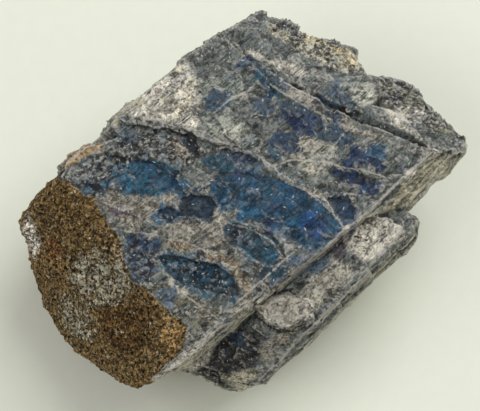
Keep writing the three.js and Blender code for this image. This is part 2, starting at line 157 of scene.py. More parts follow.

# The grey stone around the blue: banks, ribs, spots and broken ground, and painted shade in hollows, a slot
# and along step edges.
GROUND = {
    "pale west bank": ("beige", [
        (-27, 22), (-25, 21), (-22.5, 16.5), (-20.5, 13), (-16, 11), (-14, 9), (-14.5, 6), (-17, 7),
        (-22, 7.5), (-27, 8), (-28.5, 11.5), (-28.5, 18.5)]),
    "dark spot on the west bank": ("plum", [(-28, 17), (-25.5, 15.5), (-24.5, 13), (-26, 12), (-28.5, 14)]),
    "pale middle bank": ("beige", [
        (-20.5, 6), (-17.5, 3.5), (-15, 1), (-12, -1), (-9, -3.5), (-9.5, -5), (-12, -7.5), (-13.5, -11),
        (-15, -8), (-17, -3.5), (-20, 0), (-22, 2.5), (-22, 4.5)]),
    "tan bank": ("tan", [
        (-23, 1.5), (-20.5, 0), (-17.5, -4), (-15.5, -8), (-13, -13.5), (-13.5, -18), (-14.5, -22),
        (-17, -21.5), (-17, -18.5), (-16, -14), (-18.5, -9), (-21, -4.5), (-23.5, -1.5)]),
    "plum spots": ("plum", [(-17.5, -5), (-16, -6.5), (-18, -9.5), (-19.5, -7.5)]),
    "rib between the fields": ("pale", [
        (-9, -2.5), (-8.5, -4.5), (-6, -7), (-5, -9.5), (-3, -11.5), (-1.5, -13.5), (-4, -12.5), (-6, -10.5),
        (-6.5, -7), (-9.5, -5), (-10, -3.5)]),
    "rib right of the main field": ("pale", [
        (9, -3), (10, -4.5), (11, -8), (12, -11), (13.5, -14), (15, -17.5), (13.5, -20), (13, -18),
        (12.5, -15), (11, -11.5), (9.5, -8), (9, -4.5)]),
    "long rib": ("beige", [
        (23, 18.5), (25, 14), (25.5, 11.5), (27, 8), (29.5, 5.5), (30.5, 0.5), (32, -5.5), (34, -10),
        (36, -13), (37.5, -17), (41.5, -23.5), (38.5, -22), (36, -18.5), (34.5, -14), (31.5, -10),
        (29.5, -6.5), (28, -2), (27, 2.5), (25.5, 6.5), (24, 10), (23, 14), (21.5, 17.5)]),
    "upper rib": ("pale", [(24, 27), (26.5, 24.5), (27, 21.5), (25.5, 22), (23.5, 24.5)]),
    "middle rib": ("pale", [
        (26.5, 21.5), (29, 19), (31, 15), (32, 11), (30.5, 11.5), (28.5, 15), (26.5, 18.5)]),
    "rib right of the groove": ("pale", [
        (40.5, -6), (42, -8.5), (41.5, -16), (40.5, -16), (39.5, -13.5), (39, -10)]),
    "foot of the right rib": ("pale", [
        (40.5, -14.5), (42, -18.5), (43.5, -23), (43.5, -24.5), (40.5, -23), (40, -17.5)]),
    "pale meadow": ("pale", [
        (-3.5, 34), (2.5, 33.5), (7.5, 33.5), (10.5, 33), (10, 28.5), (7.5, 24), (4.5, 21), (2.5, 17.5),
        (0, 19), (-2, 23), (-5.5, 27), (-9, 30.5), (-9, 32.5)]),
    "white fleck": ("white", [(-1, 34.5), (1, 32.5), (1, 30.5), (-1, 30), (-2.5, 32)]),
    "small white fleck": ("white", [(-1, 25), (0.5, 23.5), (0.5, 21.5), (-1.5, 22)]),
    "green haze": ("green_grey", [
        (9.5, 27.5), (13.5, 26), (17.5, 20.5), (16, 17), (12.5, 14.5), (11.5, 10.5), (7.5, 9), (4, 12),
        (3, 16.5), (4.5, 21)]),
    "pale puddle": ("pale_green", [(6.5, 14.5), (8.5, 13.5), (10, 11.5), (9, 9), (6.5, 10), (5.5, 12.5)]),
    "dark field": ("dark_grey", [
        (11, 17.5), (14.5, 17), (16.5, 16), (19.5, 14.5), (21, 10.5), (22.5, 3.5), (23.5, 0), (22.5, -3),
        (17, -2.5), (14, -0.5), (12, 3), (10.5, 6.5), (11, 11.5), (10, 15)]),
    "pale slope": ("grey", [
        (18, 2), (21, 0), (22.5, -3.5), (24, -8), (20, -10), (16, -10.5), (14, -7.5), (14.5, 0)]),
    "grey flat": ("mid_grey", [
        (-32, -4), (-29.5, -7.5), (-28.5, -11.5), (-26, -15), (-24, -19), (-22.5, -22), (-26.5, -22),
        (-32, -21.5), (-37, -21), (-35.5, -16.5), (-34, -10), (-34.5, -6.5)]),
    "pale chip": ("grey", [(-28.5, -6.5), (-26.5, -7), (-26.5, -12.5), (-28.5, -12), (-28.5, -9)]),
    "tan triangle": ("tan", [(-5.5, 21), (-3.5, 20), (-4, 16), (-3.5, 14), (-7, 15), (-7.5, 18)]),
    # painted shade: a dark recess, and the line along the upper edge of the field below it
    "dark hollow": ("black", [
        (-3.5, 22.5), (-2, 20.5), (0.5, 17), (-1, 14), (-3, 13), (-3, 16.5), (-3.5, 19.5)]),
    "dark line over the upper field": ("black", [
        (2, 10.5), (4, 10), (5.5, 8), (6.5, 6), (6, 5.5), (4, 8), (2, 9)]),
    "flaky west": ("dark_grey", [
        (-28.5, 29.5), (-25, 29.5), (-21, 29), (-19, 26.5), (-19.5, 24), (-23, 23.5), (-28.5, 23.5),
        (-29, 26)]),
    "green grey corner": ("dark_grey", [
        (-19.5, 30.5), (-14.5, 31.5), (-11.5, 30), (-9.5, 27), (-9.5, 24), (-11, 21.5), (-14.5, 22.5),
        (-17.5, 25.5), (-19.5, 28.5)]),
    "shade behind the lagoon": ("black", [
        (-19.5, 28), (-17.5, 25.5), (-14, 22), (-12, 18.5), (-10, 15.5), (-9, 13), (-10.5, 14), (-13.5, 18.5),
        (-16.5, 22), (-19.5, 25.5)]),
    "west tan edge": ("golden", [(-29, 34), (-24.5, 33.5), (-18, 33.5), (-19.5, 29), (-23, 30), (-30, 31.5)]),
    "middle tan edge": ("olive", [
        (-14.5, 33), (-10.5, 34.5), (-6.5, 34.5), (-3.5, 33), (-3.5, 31.5), (-11, 31.5), (-14, 31.5)]),
    "crumbled olive ground": ("olive", [
        (33, 30.5), (35.5, 25), (39, 19.5), (43, 14), (43.5, 5), (40, 5.5), (37.5, 10), (35, 15),
        (33.5, 20.5), (32, 25.5)]),
    "crumbled yellow rim": ("yellow_stone", [
        (38.5, 22.5), (41, 18.5), (43, 14), (45.5, 11.5), (45, 8.5), (44, 5), (42, 7), (42, 10.5),
        (41, 14.5), (38.5, 18.5)]),
    "dark end": ("dark_olive", [
        (43, 2.5), (46, -1), (50, -4.5), (50.5, -14), (51.5, -19), (49.5, -22.5), (47.5, -20.5),
        (46.5, -15.5), (46, -10), (45.5, -6), (43, -3.5), (44.5, 0)]),
    # painted shade in a recess of the broken end
    "deep hollow in the end": ("shadow", [
        (41, -3), (44, -3), (45.5, -6), (45.5, -9), (43.5, -8), (41.5, -6.5), (40, -4.5)]),
    "pale spot in the end": ("pale", [
        (44.5, -7.5), (46.5, -10), (49, -13), (45.5, -15), (42.5, -13.5), (42, -10.5)]),
    "sharp plate": ("pale_green", [
        (38, 3), (40.5, 1), (41.5, -1), (41.5, -3), (38, -4.5), (36, -2), (35.5, 0)]),
    "flank": ("olive", [
        (41, -23.5), (46.5, -26.5), (50.5, -26.5), (41, -28), (31, -29), (26.5, -27.5), (22, -26),
        (28, -25.5), (34.5, -24.5)]),
    "bright corner": ("white", [(33, -23), (35, -23.5), (35.5, -24.5), (33.5, -25), (32, -24.5)]),
    "pale ledge": ("pale", [
        (13, -24), (18, -24.5), (22, -26), (23, -29.5), (25, -32), (23.5, -34), (14.5, -34), (11.5, -33),
        (10.5, -30), (10, -26)]),
    "plum spot on the ledge": ("plum", [(9, -24.5), (12, -24.5), (11, -27), (8, -29.5), (7, -27)]),
    "middle of the ledge": ("grey", [
        (-4.5, -28), (1.5, -27.5), (6.5, -26.5), (8, -29.5), (9.5, -32.5), (5.5, -33.5), (0, -34),
        (-5, -34), (-8, -33)]),
    "pad on the ledge": ("pale", [
        (-15.5, -24), (-11.5, -25), (-7, -26.5), (-4, -29.5), (-3.5, -32.5), (-6, -35), (-10.5, -35),
        (-14, -32.5), (-16, -29)]),
    "heart of the pad": ("beige", [
        (-14, -26.5), (-11, -27), (-8, -28), (-6, -30), (-6, -32), (-8, -33.5), (-11, -33.3), (-13.5, -31.5),
        (-14.5, -29)]),
    "small pad": ("beige", [
        (-22.5, -22.5), (-20, -22), (-16.5, -22.5), (-14, -23.5), (-16.5, -25), (-23, -24.5)]),
    # painted shadow in the slot below the slab's front edge
    "dark slot": ("shadow", [(-13.5, -22), (-10, -22.5), (-7, -23.5), (-5, -25), (-11, -25), (-13.5, -23.5)]),
    "dark end of the ledge": ("black", [
        (-36, -24.6), (-27, -24.2), (-23, -25), (-20, -26.5), (-19.5, -29.5), (-20, -33), (-23.5, -34),
        (-27.5, -33.5), (-32, -30.5), (-37, -26)]),
    "pale foot of the ledge": ("olive", [
        (-30.5, -29.5), (-27, -32), (-24, -34), (-24.5, -36), (-28, -34.5), (-30.5, -31.5)]),
    "beige end of the ledge": ("beige", [
        (-19, -31), (-14.5, -32.5), (-8.5, -34.5), (-14.5, -36), (-19, -36), (-21.5, -35), (-21, -32)]),
    "strip beside the rust": ("pale", [
        (-46, -21.5), (-39, -23), (-27, -23), (-27.5, -24), (-38.5, -24.5), (-44.5, -24)]),
}

# The weathered left end: its border on the face, and the tints of its rind.
RUST_BORDER = [
    (-33, 40), (-31.5, 28.5), (-30.5, 23.5), (-28.5, 21), (-30, 17.5), (-30.5, 13), (-30, 10.5), (-32, 6.5),
    (-33.5, 2.5), (-35, -2), (-34, -5), (-33, -8), (-33.5, -14), (-32, -17), (-33.5, -19.5), (-35.5, -21.5),
    (-41, -22), (-44.5, -21.5), (-60, -24), (-60, 45),
]
PALE_RIND = (
    [
        (-42, 13.5), (-37, 11.5), (-34.5, 7), (-34, 2), (-36.5, -2.5), (-41, -2), (-44, 1), (-45, 5.5),
        (-45, 10.5)],
    [(-49.5, 10.5), (-47, 7.5), (-46.5, 2.5), (-49, -2), (-51.5, -1.5), (-52, 3.5), (-51.5, 8.5)],
)
RIND = {
    "reddish rind": ("reddish_rust", [(-43.5, 23), (-41, 21.5), (-42, 17.5), (-45, 15), (-46, 18.5)]),
    "golden rim": ("golden", [
        (-35.5, -13), (-34.5, -15), (-34, -18), (-36.5, -20), (-39, -20), (-38.5, -16.5)]),
    "dark rind": ("dark_rust", [
        (-44.5, -0.5), (-40, -3), (-37, -9), (-38.5, -13.5), (-43.5, -14.5), (-47.5, -11), (-48.5, -5.5)]),
    "olive rind": ("olive_rust", [
        (-35.5, 30), (-31, 27.5), (-29.5, 22), (-30.5, 17), (-33, 12), (-36.5, 12), (-38.5, 16.5),
        (-38.5, 22.5)]),
    "fresh chip": ("white", [
        (-44.5, 29.5), (-42.5, 30.5), (-43.5, 27), (-45, 23), (-47, 22), (-47, 25.5), (-46, 28.5)]),
}

# Thin lines on the face and the ledge: pale edges of the cleavage layers, partly painted highlights along lit
# edges and rims, and dark lines, partly cracks and partly painted shadow lines under the slab and along the
# pools and the groove.
PALE_SEAMS_AND_HIGHLIGHTS = {
    "rim of the slab": [(-43, -21.7), (-40.5, -22), (-32.5, -23.2), (-25, -24), (-23, -24.4)],
    "front rim": [(-19, -21.7), (-10, -21.5), (-3, -21), (1, -21)],
    "front edge": [(-5, -24.5), (4, -25), (12, -24.5), (19.5, -25), (28, -24), (36.5, -23.5), (43, -24.5)],
    "lower crack": [(-28, -7.5), (-27.5, -12.5), (-26, -19), (-25.5, -22.5)],
    "edge of the ledge": [(-26, -36.6), (-17.5, -37), (-2, -36.2), (12, -35.2)],
    "edge of the groove": [(25.5, 14), (27, 9), (31.5, -0.5), (35.5, -11), (42, -23)],
    "end of the ledge": [(23.5, -29), (23.5, -33), (14, -34.5), (9.5, -34.5)],
    "main rib": [(4.5, 9), (8, 4), (9.5, -2.5), (9, -5.5), (11.5, -11.5), (13, -19), (12.5, -24)],
    "cross rib": [(10, -1.5), (14, -3), (19, -8), (22.5, -12.5), (27.5, -19), (29, -22)],
    "slant": [(19, -8), (25.5, -6.5), (28.5, -6)],
    "edge of the terrace": [(-7, 29.5), (-2, 21.5), (2.5, 16), (4.5, 9)],
    "upper chip": [(20.5, 18), (17, 17.5), (12.5, 18.5), (7.5, 18.5)],
    "upper rib": [(22.5, 15), (25, 7), (28, -1)],
    "top rib": [(24.5, 25.5), (27.5, 19), (30.5, 13.5)],
    "head of the field": [(2.5, 11), (5, 9), (7, 5)],
    "head of the middle pool": [(-8.5, -4.5), (-5, -9.5), (-3, -15), (-3.5, -21.5)],
    "head of the left pool": [(-22, 1), (-19.5, -1.5), (-18, -4), (-16, -9)],
    "west rib": [(-30.5, 12), (-26, 6.5), (-23.5, 3.5)],
    "bank rib": [(-27.5, 17.5), (-25.5, 13.5), (-23.5, 12.5)],
    "left rim": [(-30, 31.5), (-22, 32), (-13.5, 33), (-4, 33.3), (8.5, 35), (20.5, 35.5)],
}
DARK_SEAMS_AND_SHADOW_LINES = {
    "round the pad": [
        (-16, -24.5), (-13.5, -24), (-10, -25), (-6.5, -26), (-6, -29.5), (-5, -33.5), (-8, -35),
        (-12, -34.5),
        (-14.5, -32.5), (-16, -29), (-16.5, -26), (-16, -24.5)],
    "under the slab": [(-25.5, -25.6), (-21, -25.6), (-16.5, -25.5)],
    "crack in the ledge": [(13.5, -26), (15.5, -28.5), (15.5, -31)],
    "edge of the lagoon": [(-24, 26), (-19.5, 27), (-17, 24), (-14.5, 21), (-12.5, 18.5), (-11.5, 15.5)],
    "crack in the field": [(-1.5, 6), (4, 1), (5, -2.5)],
    "edge of the left pool": [(-25.5, -2), (-22, -6), (-20, -10.5), (-20, -14.5)],
    "side of the groove": [(33, -4), (36.8, -13), (42.6, -23.5)],
}

# Border of the face. Its steps wander only well inside it, so that the stone's outline stays.
FACE_RIM = [
    (-46, -21), (-33, -23.5), (-12, -24), (12, -25), (32, -25.5), (44, -24), (47, -5), (43, 12), (36, 27),
    (30, 34), (10, 35.5), (-20, 34), (-34, 32), (-46, 27), (-52, 10), (-52, -4)]

# Where the face is broken into small glinting scales.
SCALY = {
    "west bank": [(-30, 20), (-30, 28), (-24, 30), (-18, 27), (-14, 23), (-18, 21), (-24, 20)],
    "beside the rust": [(-34, 4), (-28, 6), (-25, 3), (-26, -2), (-33, -4)],
    "left pool": [(-26, -1.5), (-20, -7), (-17, -14.5), (-19.5, -20.5), (-25, -11.5), (-26.5, -5.5)],
    "small notch": [(-19.5, 7.5), (-16.5, 8), (-15, 5.5), (-15, 3.5), (-16.5, 3), (-19, 5)],
    "behind the lagoon": [(-18, 28), (-9, 28), (-3, 23), (0, 15), (-5, 12), (-10, 16), (-14, 22)],
    "middle pool": [(-9.5, -5.5), (-5.5, -8), (-4.5, -13), (-9, -12)],
    "crumbled corner": [(33, 31), (37, 27), (44, 14), (45, 4), (38, 6), (33, 20)],
    "broken end": [(42, 3), (52, -3), (53, -20), (46, -18), (43, -4)],
}


def tone(label, red, green, blue):
    """A colour setting, given as the red, green and blue that the eye sees, from 0 to 255."""
    return FloatVectorProperty(
        name=label, description=label + " of the stone", subtype="COLOR_GAMMA", size=3, min=0, max=1,
        default=(red / 255, green / 255, blue / 255),
    )


class StoneColours(bpy.types.PropertyGroup):
    teal: tone("Teal flash", 2, 72, 98)
    bright_teal: tone("Bright teal flash", 2, 84, 122)
    cyan: tone("Cyan flash", 2, 84, 120)
    royal: tone("Royal blue flash", 0, 62, 116)
    blue: tone("Blue flash", 8, 68, 99)
    deep_blue: tone("Deep blue flash", 4, 44, 84)
    navy: tone("Navy flash", 18, 40, 78)
    slate_blue: tone("Slate blue flash", 30, 54, 80)
    ink: tone("Ink blue flash", 18, 42, 64)
    sea: tone("Sea green flash", 28, 72, 92)
    slate: tone("Slate flash", 50, 70, 88)
    pale_slate: tone("Pale slate flash", 84, 100, 116)
    dark_slate: tone("Dark slate floor", 92, 98, 95)
    white: tone("White chips", 206, 198, 186)
    pale: tone("Pale ribs", 198, 192, 178)
    pale_green: tone("Pale green stone", 180, 181, 167)
    beige: tone("Beige banks", 140, 134, 121)
    grey: tone("Grey stone", 162, 158, 144)
    slate_grey: tone("Slate grey ground", 94, 99, 95)
    green_grey: tone("Green grey haze", 130, 134, 124)
    mid_grey: tone("Smooth grey flat", 100, 97, 82)
    dark_grey: tone("Dark grey ground", 96, 100, 98)
    shadow: tone("Shaded hollows", 44, 42, 38)
    # painted shade in the darkest hollows; it also colours the dark end of the ledge
    black: tone("Darkest hollows", 22, 20, 24)
    plum: tone("Plum spots", 78, 68, 74)
    tan: tone("Tan banks", 138, 124, 102)
    olive: tone("Olive sides", 178, 172, 148)
    dark_olive: tone("Dark olive breaks", 116, 115, 96)
    yellow_stone: tone("Yellow crumbs", 206, 192, 150)
    rust: tone("Rust", 112, 92, 60)
    dark_rust: tone("Dark rust", 96, 74, 44)
    reddish_rust: tone("Reddish rust", 114, 84, 52)
    olive_rust: tone("Olive rust", 106, 86, 54)
    golden: tone("Golden brown", 160, 130, 84)


class StoneSizes(bpy.types.PropertyGroup):
    voxel: FloatProperty(
        name="Voxel", description="Spacing of the carved surface's points",
        default=0.0004, unit="LENGTH", subtype="DISTANCE",
    )
    triangles: IntProperty(
        name="Triangles", description="Most triangles that the carved stone may have", default=190_000,
    )
    plate: FloatProperty(
        name="Plate", description="Width of the larger cleavage plates",
        default=0.0068, unit="LENGTH", subtype="DISTANCE",
    )
    flake: FloatProperty(
        name="Flake", description="Width of the smaller flakes on them",
        default=0.0026, unit="LENGTH", subtype="DISTANCE",
    )
    scale: FloatProperty(
        name="Scale", description="Width of the glinting scales where the face is broken",
        default=0.0012, unit="LENGTH", subtype="DISTANCE",
    )
    grain: FloatProperty(
        name="Rust grain", description="Width of the grains on the weathered end",
        default=0.0014, unit="LENGTH", subtype="DISTANCE",
    )


class StageSettings(bpy.types.PropertyGroup):
    floor: FloatProperty(
        name="Floor", description="Width of the plain floor",
        default=3.0, unit="LENGTH", subtype="DISTANCE",
    )
    floor_colour: FloatVectorProperty(
        name="Floor colour", description="Colour of the plain floor", subtype="COLOR_GAMMA", size=3,
        min=0, max=1, default=(0.925, 0.937, 0.875),
    )
    key_power: FloatProperty(
        name="Key light", description="Power of the large soft light", default=7.0, unit="POWER",
    )
    fill_power: FloatProperty(
        name="Fill light", description="Power of the weaker light on the other side",
        default=4.6, unit="POWER",
    )
    sky: FloatProperty(
        name="Sky light", description="Strength of the even light from all round", default=0.34,
    )


# Noise and cells, in millimetres


def waves(places, spacing, seed=0):
    """Smooth lumps and hollows from about -1 to 1, their spacing in millimetres."""
    return np.array([noise.noise(p) for p in (places / spacing + 31.7 * seed).tolist()])


def scatter(cells, seed):
    """Three numbers from 0 to 1 for each cell, the same on every run."""
    stirred = cells @ np.array([[127.1, 269.5, 113.5], [311.7, 183.3, 271.9], [74.7, 246.1, 124.6]])
    return np.abs(np.sin(stirred + 19.19 * seed) * 43758.5453) % 1.0


def nearest_cells(places, spacing, seed):
    """Centre of the cell that each place is in, and the distances to it and to the next centre."""
    scaled = places / spacing
    home = np.floor(scaled)
    first = np.full(len(places), np.inf)
    second = first.copy()
    centre = np.zeros_like(places)
    for step in np.ndindex(3, 3, 3):
        cell = home + np.array(step) - 1
        point = cell + scatter(cell, seed)
        gap = np.linalg.norm(point - scaled, axis=1)
        nearer = gap < first
        second = np.where(nearer, first, np.minimum(second, gap))
        centre[nearer] = point[nearer]
        first = np.where(nearer, gap, first)
    return centre * spacing, first * spacing, second * spacing


def plates(places, spacing, lift, lean, seed):
    """Heights of flakes that each stand at their own level and lean their own way."""
    centre, _, _ = nearest_cells(places, spacing, seed)
    own = scatter(np.round(centre * 16), seed + 5) * 2 - 1
    return lift * own[:, 0] + lean * ((places - centre) * own[:, [1, 2, 0]]).sum(1)


def smooth_step(low, high, value):
    """0 below low, 1 above high, and a soft rise between them."""
    share = np.clip((value - low) / (high - low), 0, 1)
    return share * share * (3 - 2 * share)


def along_ribs(places):
    """Places turned and shortened so that what is drawn evenly there comes out stretched along the ribs."""
    cos, sin = math.cos(RIB_ANGLE), math.sin(RIB_ANGLE)
    run = places[:, 0] * cos + places[:, 1] * sin
    across = places[:, 1] * cos - places[:, 0] * sin
    return np.stack([run * RIB_STRETCH, across, places[:, 2]], axis=1)


# Outlines on the face

REACH = 3.0  # distances to an outline are only worked out this near to it, in millimetres
SEAM_REACH = 1.0  # the same for a thin line


def inside_distance(spots, outline):
    """How far each spot lies inside an outline, in millimetres. Outside it is negative."""
    corners = np.array(outline, float)
    low, high = corners.min(0) - REACH, corners.max(0) + REACH
    near = np.flatnonzero(((spots > low) & (spots < high)).all(1))
    result = np.full(len(spots), -REACH)
    close = spots[near]
    nearest = np.full(len(close), np.inf)
    inside = np.zeros(len(close), bool)
    for start, end in zip(corners, np.roll(corners, -1, axis=0)):
        edge = end - start
        offset = close - start
        share = np.clip(offset @ edge / (edge @ edge), 0, 1)
        gap = np.linalg.norm(offset - share[:, None] * edge, axis=1)
        nearest = np.minimum(nearest, gap)
        if edge[1]:
            crosses = (start[1] > close[:, 1]) != (end[1] > close[:, 1])
            inside ^= crosses & (offset[:, 0] < offset[:, 1] * edge[0] / edge[1])
    result[near] = np.where(inside, nearest, -nearest)
    return np.maximum(result, -REACH)


def beside_seams(spots, seams):
    """Distance to the nearest thin line, below zero on its left, and 1 in its reach or 0 beyond."""
    nearest = np.full(len(spots), REACH)
    signed = nearest.copy()
    for line in seams.values():
        for start, end in zip(np.array(line[:-1], float), np.array(line[1:], float)):
            edge = end - start
            offset = spots - start
            share = np.clip(offset @ edge / (edge @ edge), 0, 1)
            gap = np.linalg.norm(offset - share[:, None] * edge, axis=1)
            side = np.sign(offset[:, 1] * edge[0] - offset[:, 0] * edge[1])
            signed = np.where(gap < nearest, gap * side, signed)
            nearest = np.minimum(nearest, gap)
    return signed, (nearest < SEAM_REACH).astype(float)


def wander(places):
    """How far each place is moved sideways, so that no outline on the face stays straight."""
    flat = places * (1, 1, 0.2)
    shift = [0.8 * waves(flat, 3.4, seed) + 0.25 * waves(flat, 1.3, seed + 1) for seed in (3, 7)]
    return np.stack(shift, axis=1)


def linear(colour):
    """A colour as the eye sees it, turned into amounts of light."""
    seen = np.array(colour)
    return np.where(seen <= 0.04045, seen / 12.92, ((seen + 0.055) / 1.055) ** 2.4)


def scaliness(spots):
    """1 where the face is broken into small scales, 0 elsewhere."""
    amount = np.zeros(len(spots))
    for outline in SCALY.values():
        amount = np.maximum(amount, smooth_step(-0.8, 0.8, inside_distance(spots, outline)))
    return amount


def rust_depth(places, spots):
    """How far into the weathered end each place lies, in millimetres. Its border winds down the walls."""
    bend = 2.6 * waves(places, 8, 61) * smooth_step(0, 6, 35 - places[:, 2])
    return inside_distance(spots + np.stack([bend, 0 * bend], axis=1), RUST_BORDER)


# Meshes


def places_of(mesh):
    """The vertices in millimetres, in the frame of the outlines."""
    places = np.empty(len(mesh.vertices) * 3)
    mesh.vertices.foreach_get("co", places)
    return places.reshape(-1, 3) / MM - OUTLINE_CENTRE


def normals_of(mesh):
    normals = np.empty(len(mesh.vertices) * 3, np.float32)
    mesh.vertex_normals.foreach_get("vector", normals)
    return normals.reshape(-1, 3).astype(float)


def averaged(values, mesh, times):
    """Values at the vertices, evened out with their neighbours' a number of times."""
    ends = np.empty(len(mesh.edges) * 2, np.int32)
    mesh.edges.foreach_get("vertices", ends)
    one, other = ends.reshape(-1, 2).T
    size = len(values)
    count = 1 + np.bincount(one, minlength=size) + np.bincount(other, minlength=size)
    for _ in range(times):
        total = values.copy()
        for axis in range(values.shape[1]):
            total[:, axis] += np.bincount(one, values[other, axis], size)
            total[:, axis] += np.bincount(other, values[one, axis], size)
        values = total / count[:, None]
    return values


def select_only(piece):
    bpy.ops.object.select_all(action="DESELECT")
    bpy.context.view_layer.objects.active = piece
    piece.select_set(True)


def apply_modifier(piece, kind, **settings):
    """Adds a modifier to the active piece and applies it at once."""
    modifier = piece.modifiers.new(kind.title(), kind)
    for name, value in settings.items():
        setattr(modifier, name, value)
    bpy.ops.object.modifier_apply(modifier=modifier.name)


def copy_of_the_solid():
    """A piece of its own with the plain solid's shape, its loose triangles joined."""
    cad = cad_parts[CAD_NODE]
    piece = bpy.data.objects.new(STONE, cad.data.copy())
    bpy.context.scene.collection.objects.link(piece)
    piece.data.name = STONE
    select_only(piece)
    bpy.ops.object.mode_set(mode="EDIT")
    bpy.ops.mesh.select_all(action="SELECT")
    bpy.ops.mesh.remove_doubles(threshold=1e-6)
    bpy.ops.mesh.normals_make_consistent(inside=False)
    bpy.ops.object.mode_set(mode="OBJECT")
    return piece


CREASE = 18  # edges sharper than this many degrees stay crisp
FACE_UP = (0.45, 0.8)  # upward part of the normal where the cleavage face begins, and where it is full


def face_relief(places, scaly, sizes):
    """Height of the cleavage plates, flakes and scales over the face, in millimetres."""
    spread = along_ribs(places * (1, 1, 0.3))
    bent = spread + np.stack([waves(places, 4, seed) for seed in (11, 12, 13)], axis=1) * 0.4
    height = plates(bent, sizes.plate / MM, 0.13, 0.03, 1)
    height += plates(bent, sizes.flake / MM, 0.09, 0.09, 2) * (0.8 + 0.5 * scaly)
    height += plates(places, sizes.scale / MM, 0.07, 0.20, 3) * (0.4 + 0.9 * scaly)
    height += 0.06 * waves(places, 1.6, 21)
    return height


def side_relief(places, scaly):
    """How far the broken sides stand out: rough all over, with thin layers that follow the cleavage."""
    layer = places[:, 2] / 2.3 + 1.3 * waves(places * (1, 1, 0.3), 15, 31)
    tread = np.abs(layer % 1 - 0.5) * smooth_step(-0.2, 0.6, waves(places, 9, 34))
    height = 0.9 * tread + 0.35 * waves(places, 5, 32)
    height += plates(places, 6.5, 0.45, 0.13, 8) + plates(places * (0.45, 0.45, 0.9), 2.4, 0.25, 0.15, 4)
    height += plates(places, 1.7, 0.12, 0.22, 5)
    return height * (1 + 0.6 * scaly)


def rust_relief(places, sizes):
    """How far the grains and pits of the weathered end stand out."""
    grain = sizes.grain / MM
    height = plates(places, grain, 0.16, 0.3, 6) + plates(places, 0.6 * grain, 0.12, 0.3, 7)
    return height + 0.4 * waves(places, 3.2, 41)


def carve(piece, sizes):
    """Moves the fine mesh's points out and in by the relief of the place that each is in."""
    mesh = piece.data
    places = places_of(mesh)
    broad = averaged(normals_of(mesh), mesh, 4)
    broad /= np.linalg.norm(broad, axis=1)[:, None] + 1e-9
    level = averaged(places, mesh, 8)
    bulge = ((places - level) * broad).sum(1)
    face = smooth_step(*FACE_UP, broad[:, 2])
    spots = places[:, :2] + wander(places)
    scaly = scaliness(spots)
    rust = smooth_step(-0.5, 0.5, rust_depth(places, spots))
    # the front wall is split more evenly than the others
    calm = 1 - 0.6 * smooth_step(0.3, 0.8, -broad[:, 1])
    height = face * face_relief(places, scaly, sizes) + (1 - face) * calm * side_relief(places, scaly)
    height = (1 - rust) * height + rust * rust_relief(places, sizes)
    chipped = smooth_step(0.2, 0.6, bulge) * (1 - face)
    height -= 0.9 * calm * chipped * np.abs(waves(places, 2.6, 51))
    height *= smooth_step(0.2, 2.5, places[:, 2])
    inland = smooth_step(1.5, 4, inside_distance(places[:, :2], FACE_RIM))
    places[:, :2] -= (face * inland)[:, None] * wander(places)
    places += height[:, None] * broad
    places[:, 2] = np.maximum(places[:, 2], 0)
    mesh.vertices.foreach_set("co", ((places + OUTLINE_CENTRE) * MM).ravel())
    mesh.update()


def tidy_surface(piece, most):
    """Thins the mesh to its number of triangles, most of all where it is flat, and gives crisp edges."""
    count = sum(len(face.vertices) - 2 for face in piece.data.polygons)
    apply_modifier(piece, "DECIMATE", ratio=min(1, most / count))
    select_only(piece)
    bpy.ops.object.shade_smooth_by_angle(angle=math.radians(CREASE))


class STONE_OT_carve(bpy.types.Operator):
    """Carves the stone's plates, scales, layers and rusty grain into a fine copy of the plain solid"""

    bl_idname = "stone.carve"
    bl_label = "Carve the Stone"

    def execute(self, context):
        sizes = context.scene.stone_sizes
        piece = copy_of_the_solid()
        coarse = 1
        apply_modifier(piece, "REMESH", mode="VOXEL", voxel_size=sizes.voxel * coarse)
        carve(piece, sizes)
        tidy_surface(piece, sizes.triangles)
        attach(piece, "root")
        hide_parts(CAD_NODE)
        return {"FINISHED"}


# Colour at the vertices

FLASH_SPAN = 4.0  # millimetres over which the flash level runs from 0 to 1, half of them inside the outline


def blended(tint, weight, colour):
    """The tint of each vertex, moved towards a colour by its weight."""
    return tint + weight[:, None] * (colour - tint)


def painted(spots, tint, patches, colours, soft):
    """The tint with each patch laid over it in turn."""
    for name, outline in patches.values():
        weight = smooth_step(-soft, soft, inside_distance(spots, outline))
        tint = blended(tint, weight, linear(getattr(colours, name)))
    return tint


def side_tint(normals, colours):
    """Tint of the walls and the underside, by the way they face."""
    tint = np.tile(linear(colours.dark_olive), (len(normals), 1)) * 1.15
    tint = blended(tint, smooth_step(0.2, 0.7, -normals[:, 1]), linear(colours.olive))
    tint = blended(tint, smooth_step(0.3, 0.8, normals[:, 0]), linear(colours.dark_grey))
    return blended(tint, smooth_step(0.4, 0.9, -normals[:, 2]), linear(colours.mid_grey))


def flash_of(spots, colours):
    """Colour of the nearest pool of blue, and a level that passes one half at its outline."""
    tint = np.tile(linear(colours.blue), (len(spots), 1))
    deepest = np.full(len(spots), -REACH)
    for name, outline in FLASH.values():
        depth = inside_distance(spots, outline)
        colour = linear(getattr(colours, name))
        tint = blended(tint, (depth > deepest).astype(float), colour)
        tint = blended(tint, smooth_step(-0.3, 0.7, depth), colour)
        deepest = np.maximum(deepest, depth)
    return tint, np.clip(0.5 + deepest / FLASH_SPAN, 0, 1)


def store(mesh, name, rows):
    """Keeps a colour with four parts at every vertex."""
    layer = mesh.attributes.new(name, "FLOAT_COLOR", "POINT")
    layer.data.foreach_set("color", np.ascontiguousarray(rows, np.float32).ravel())


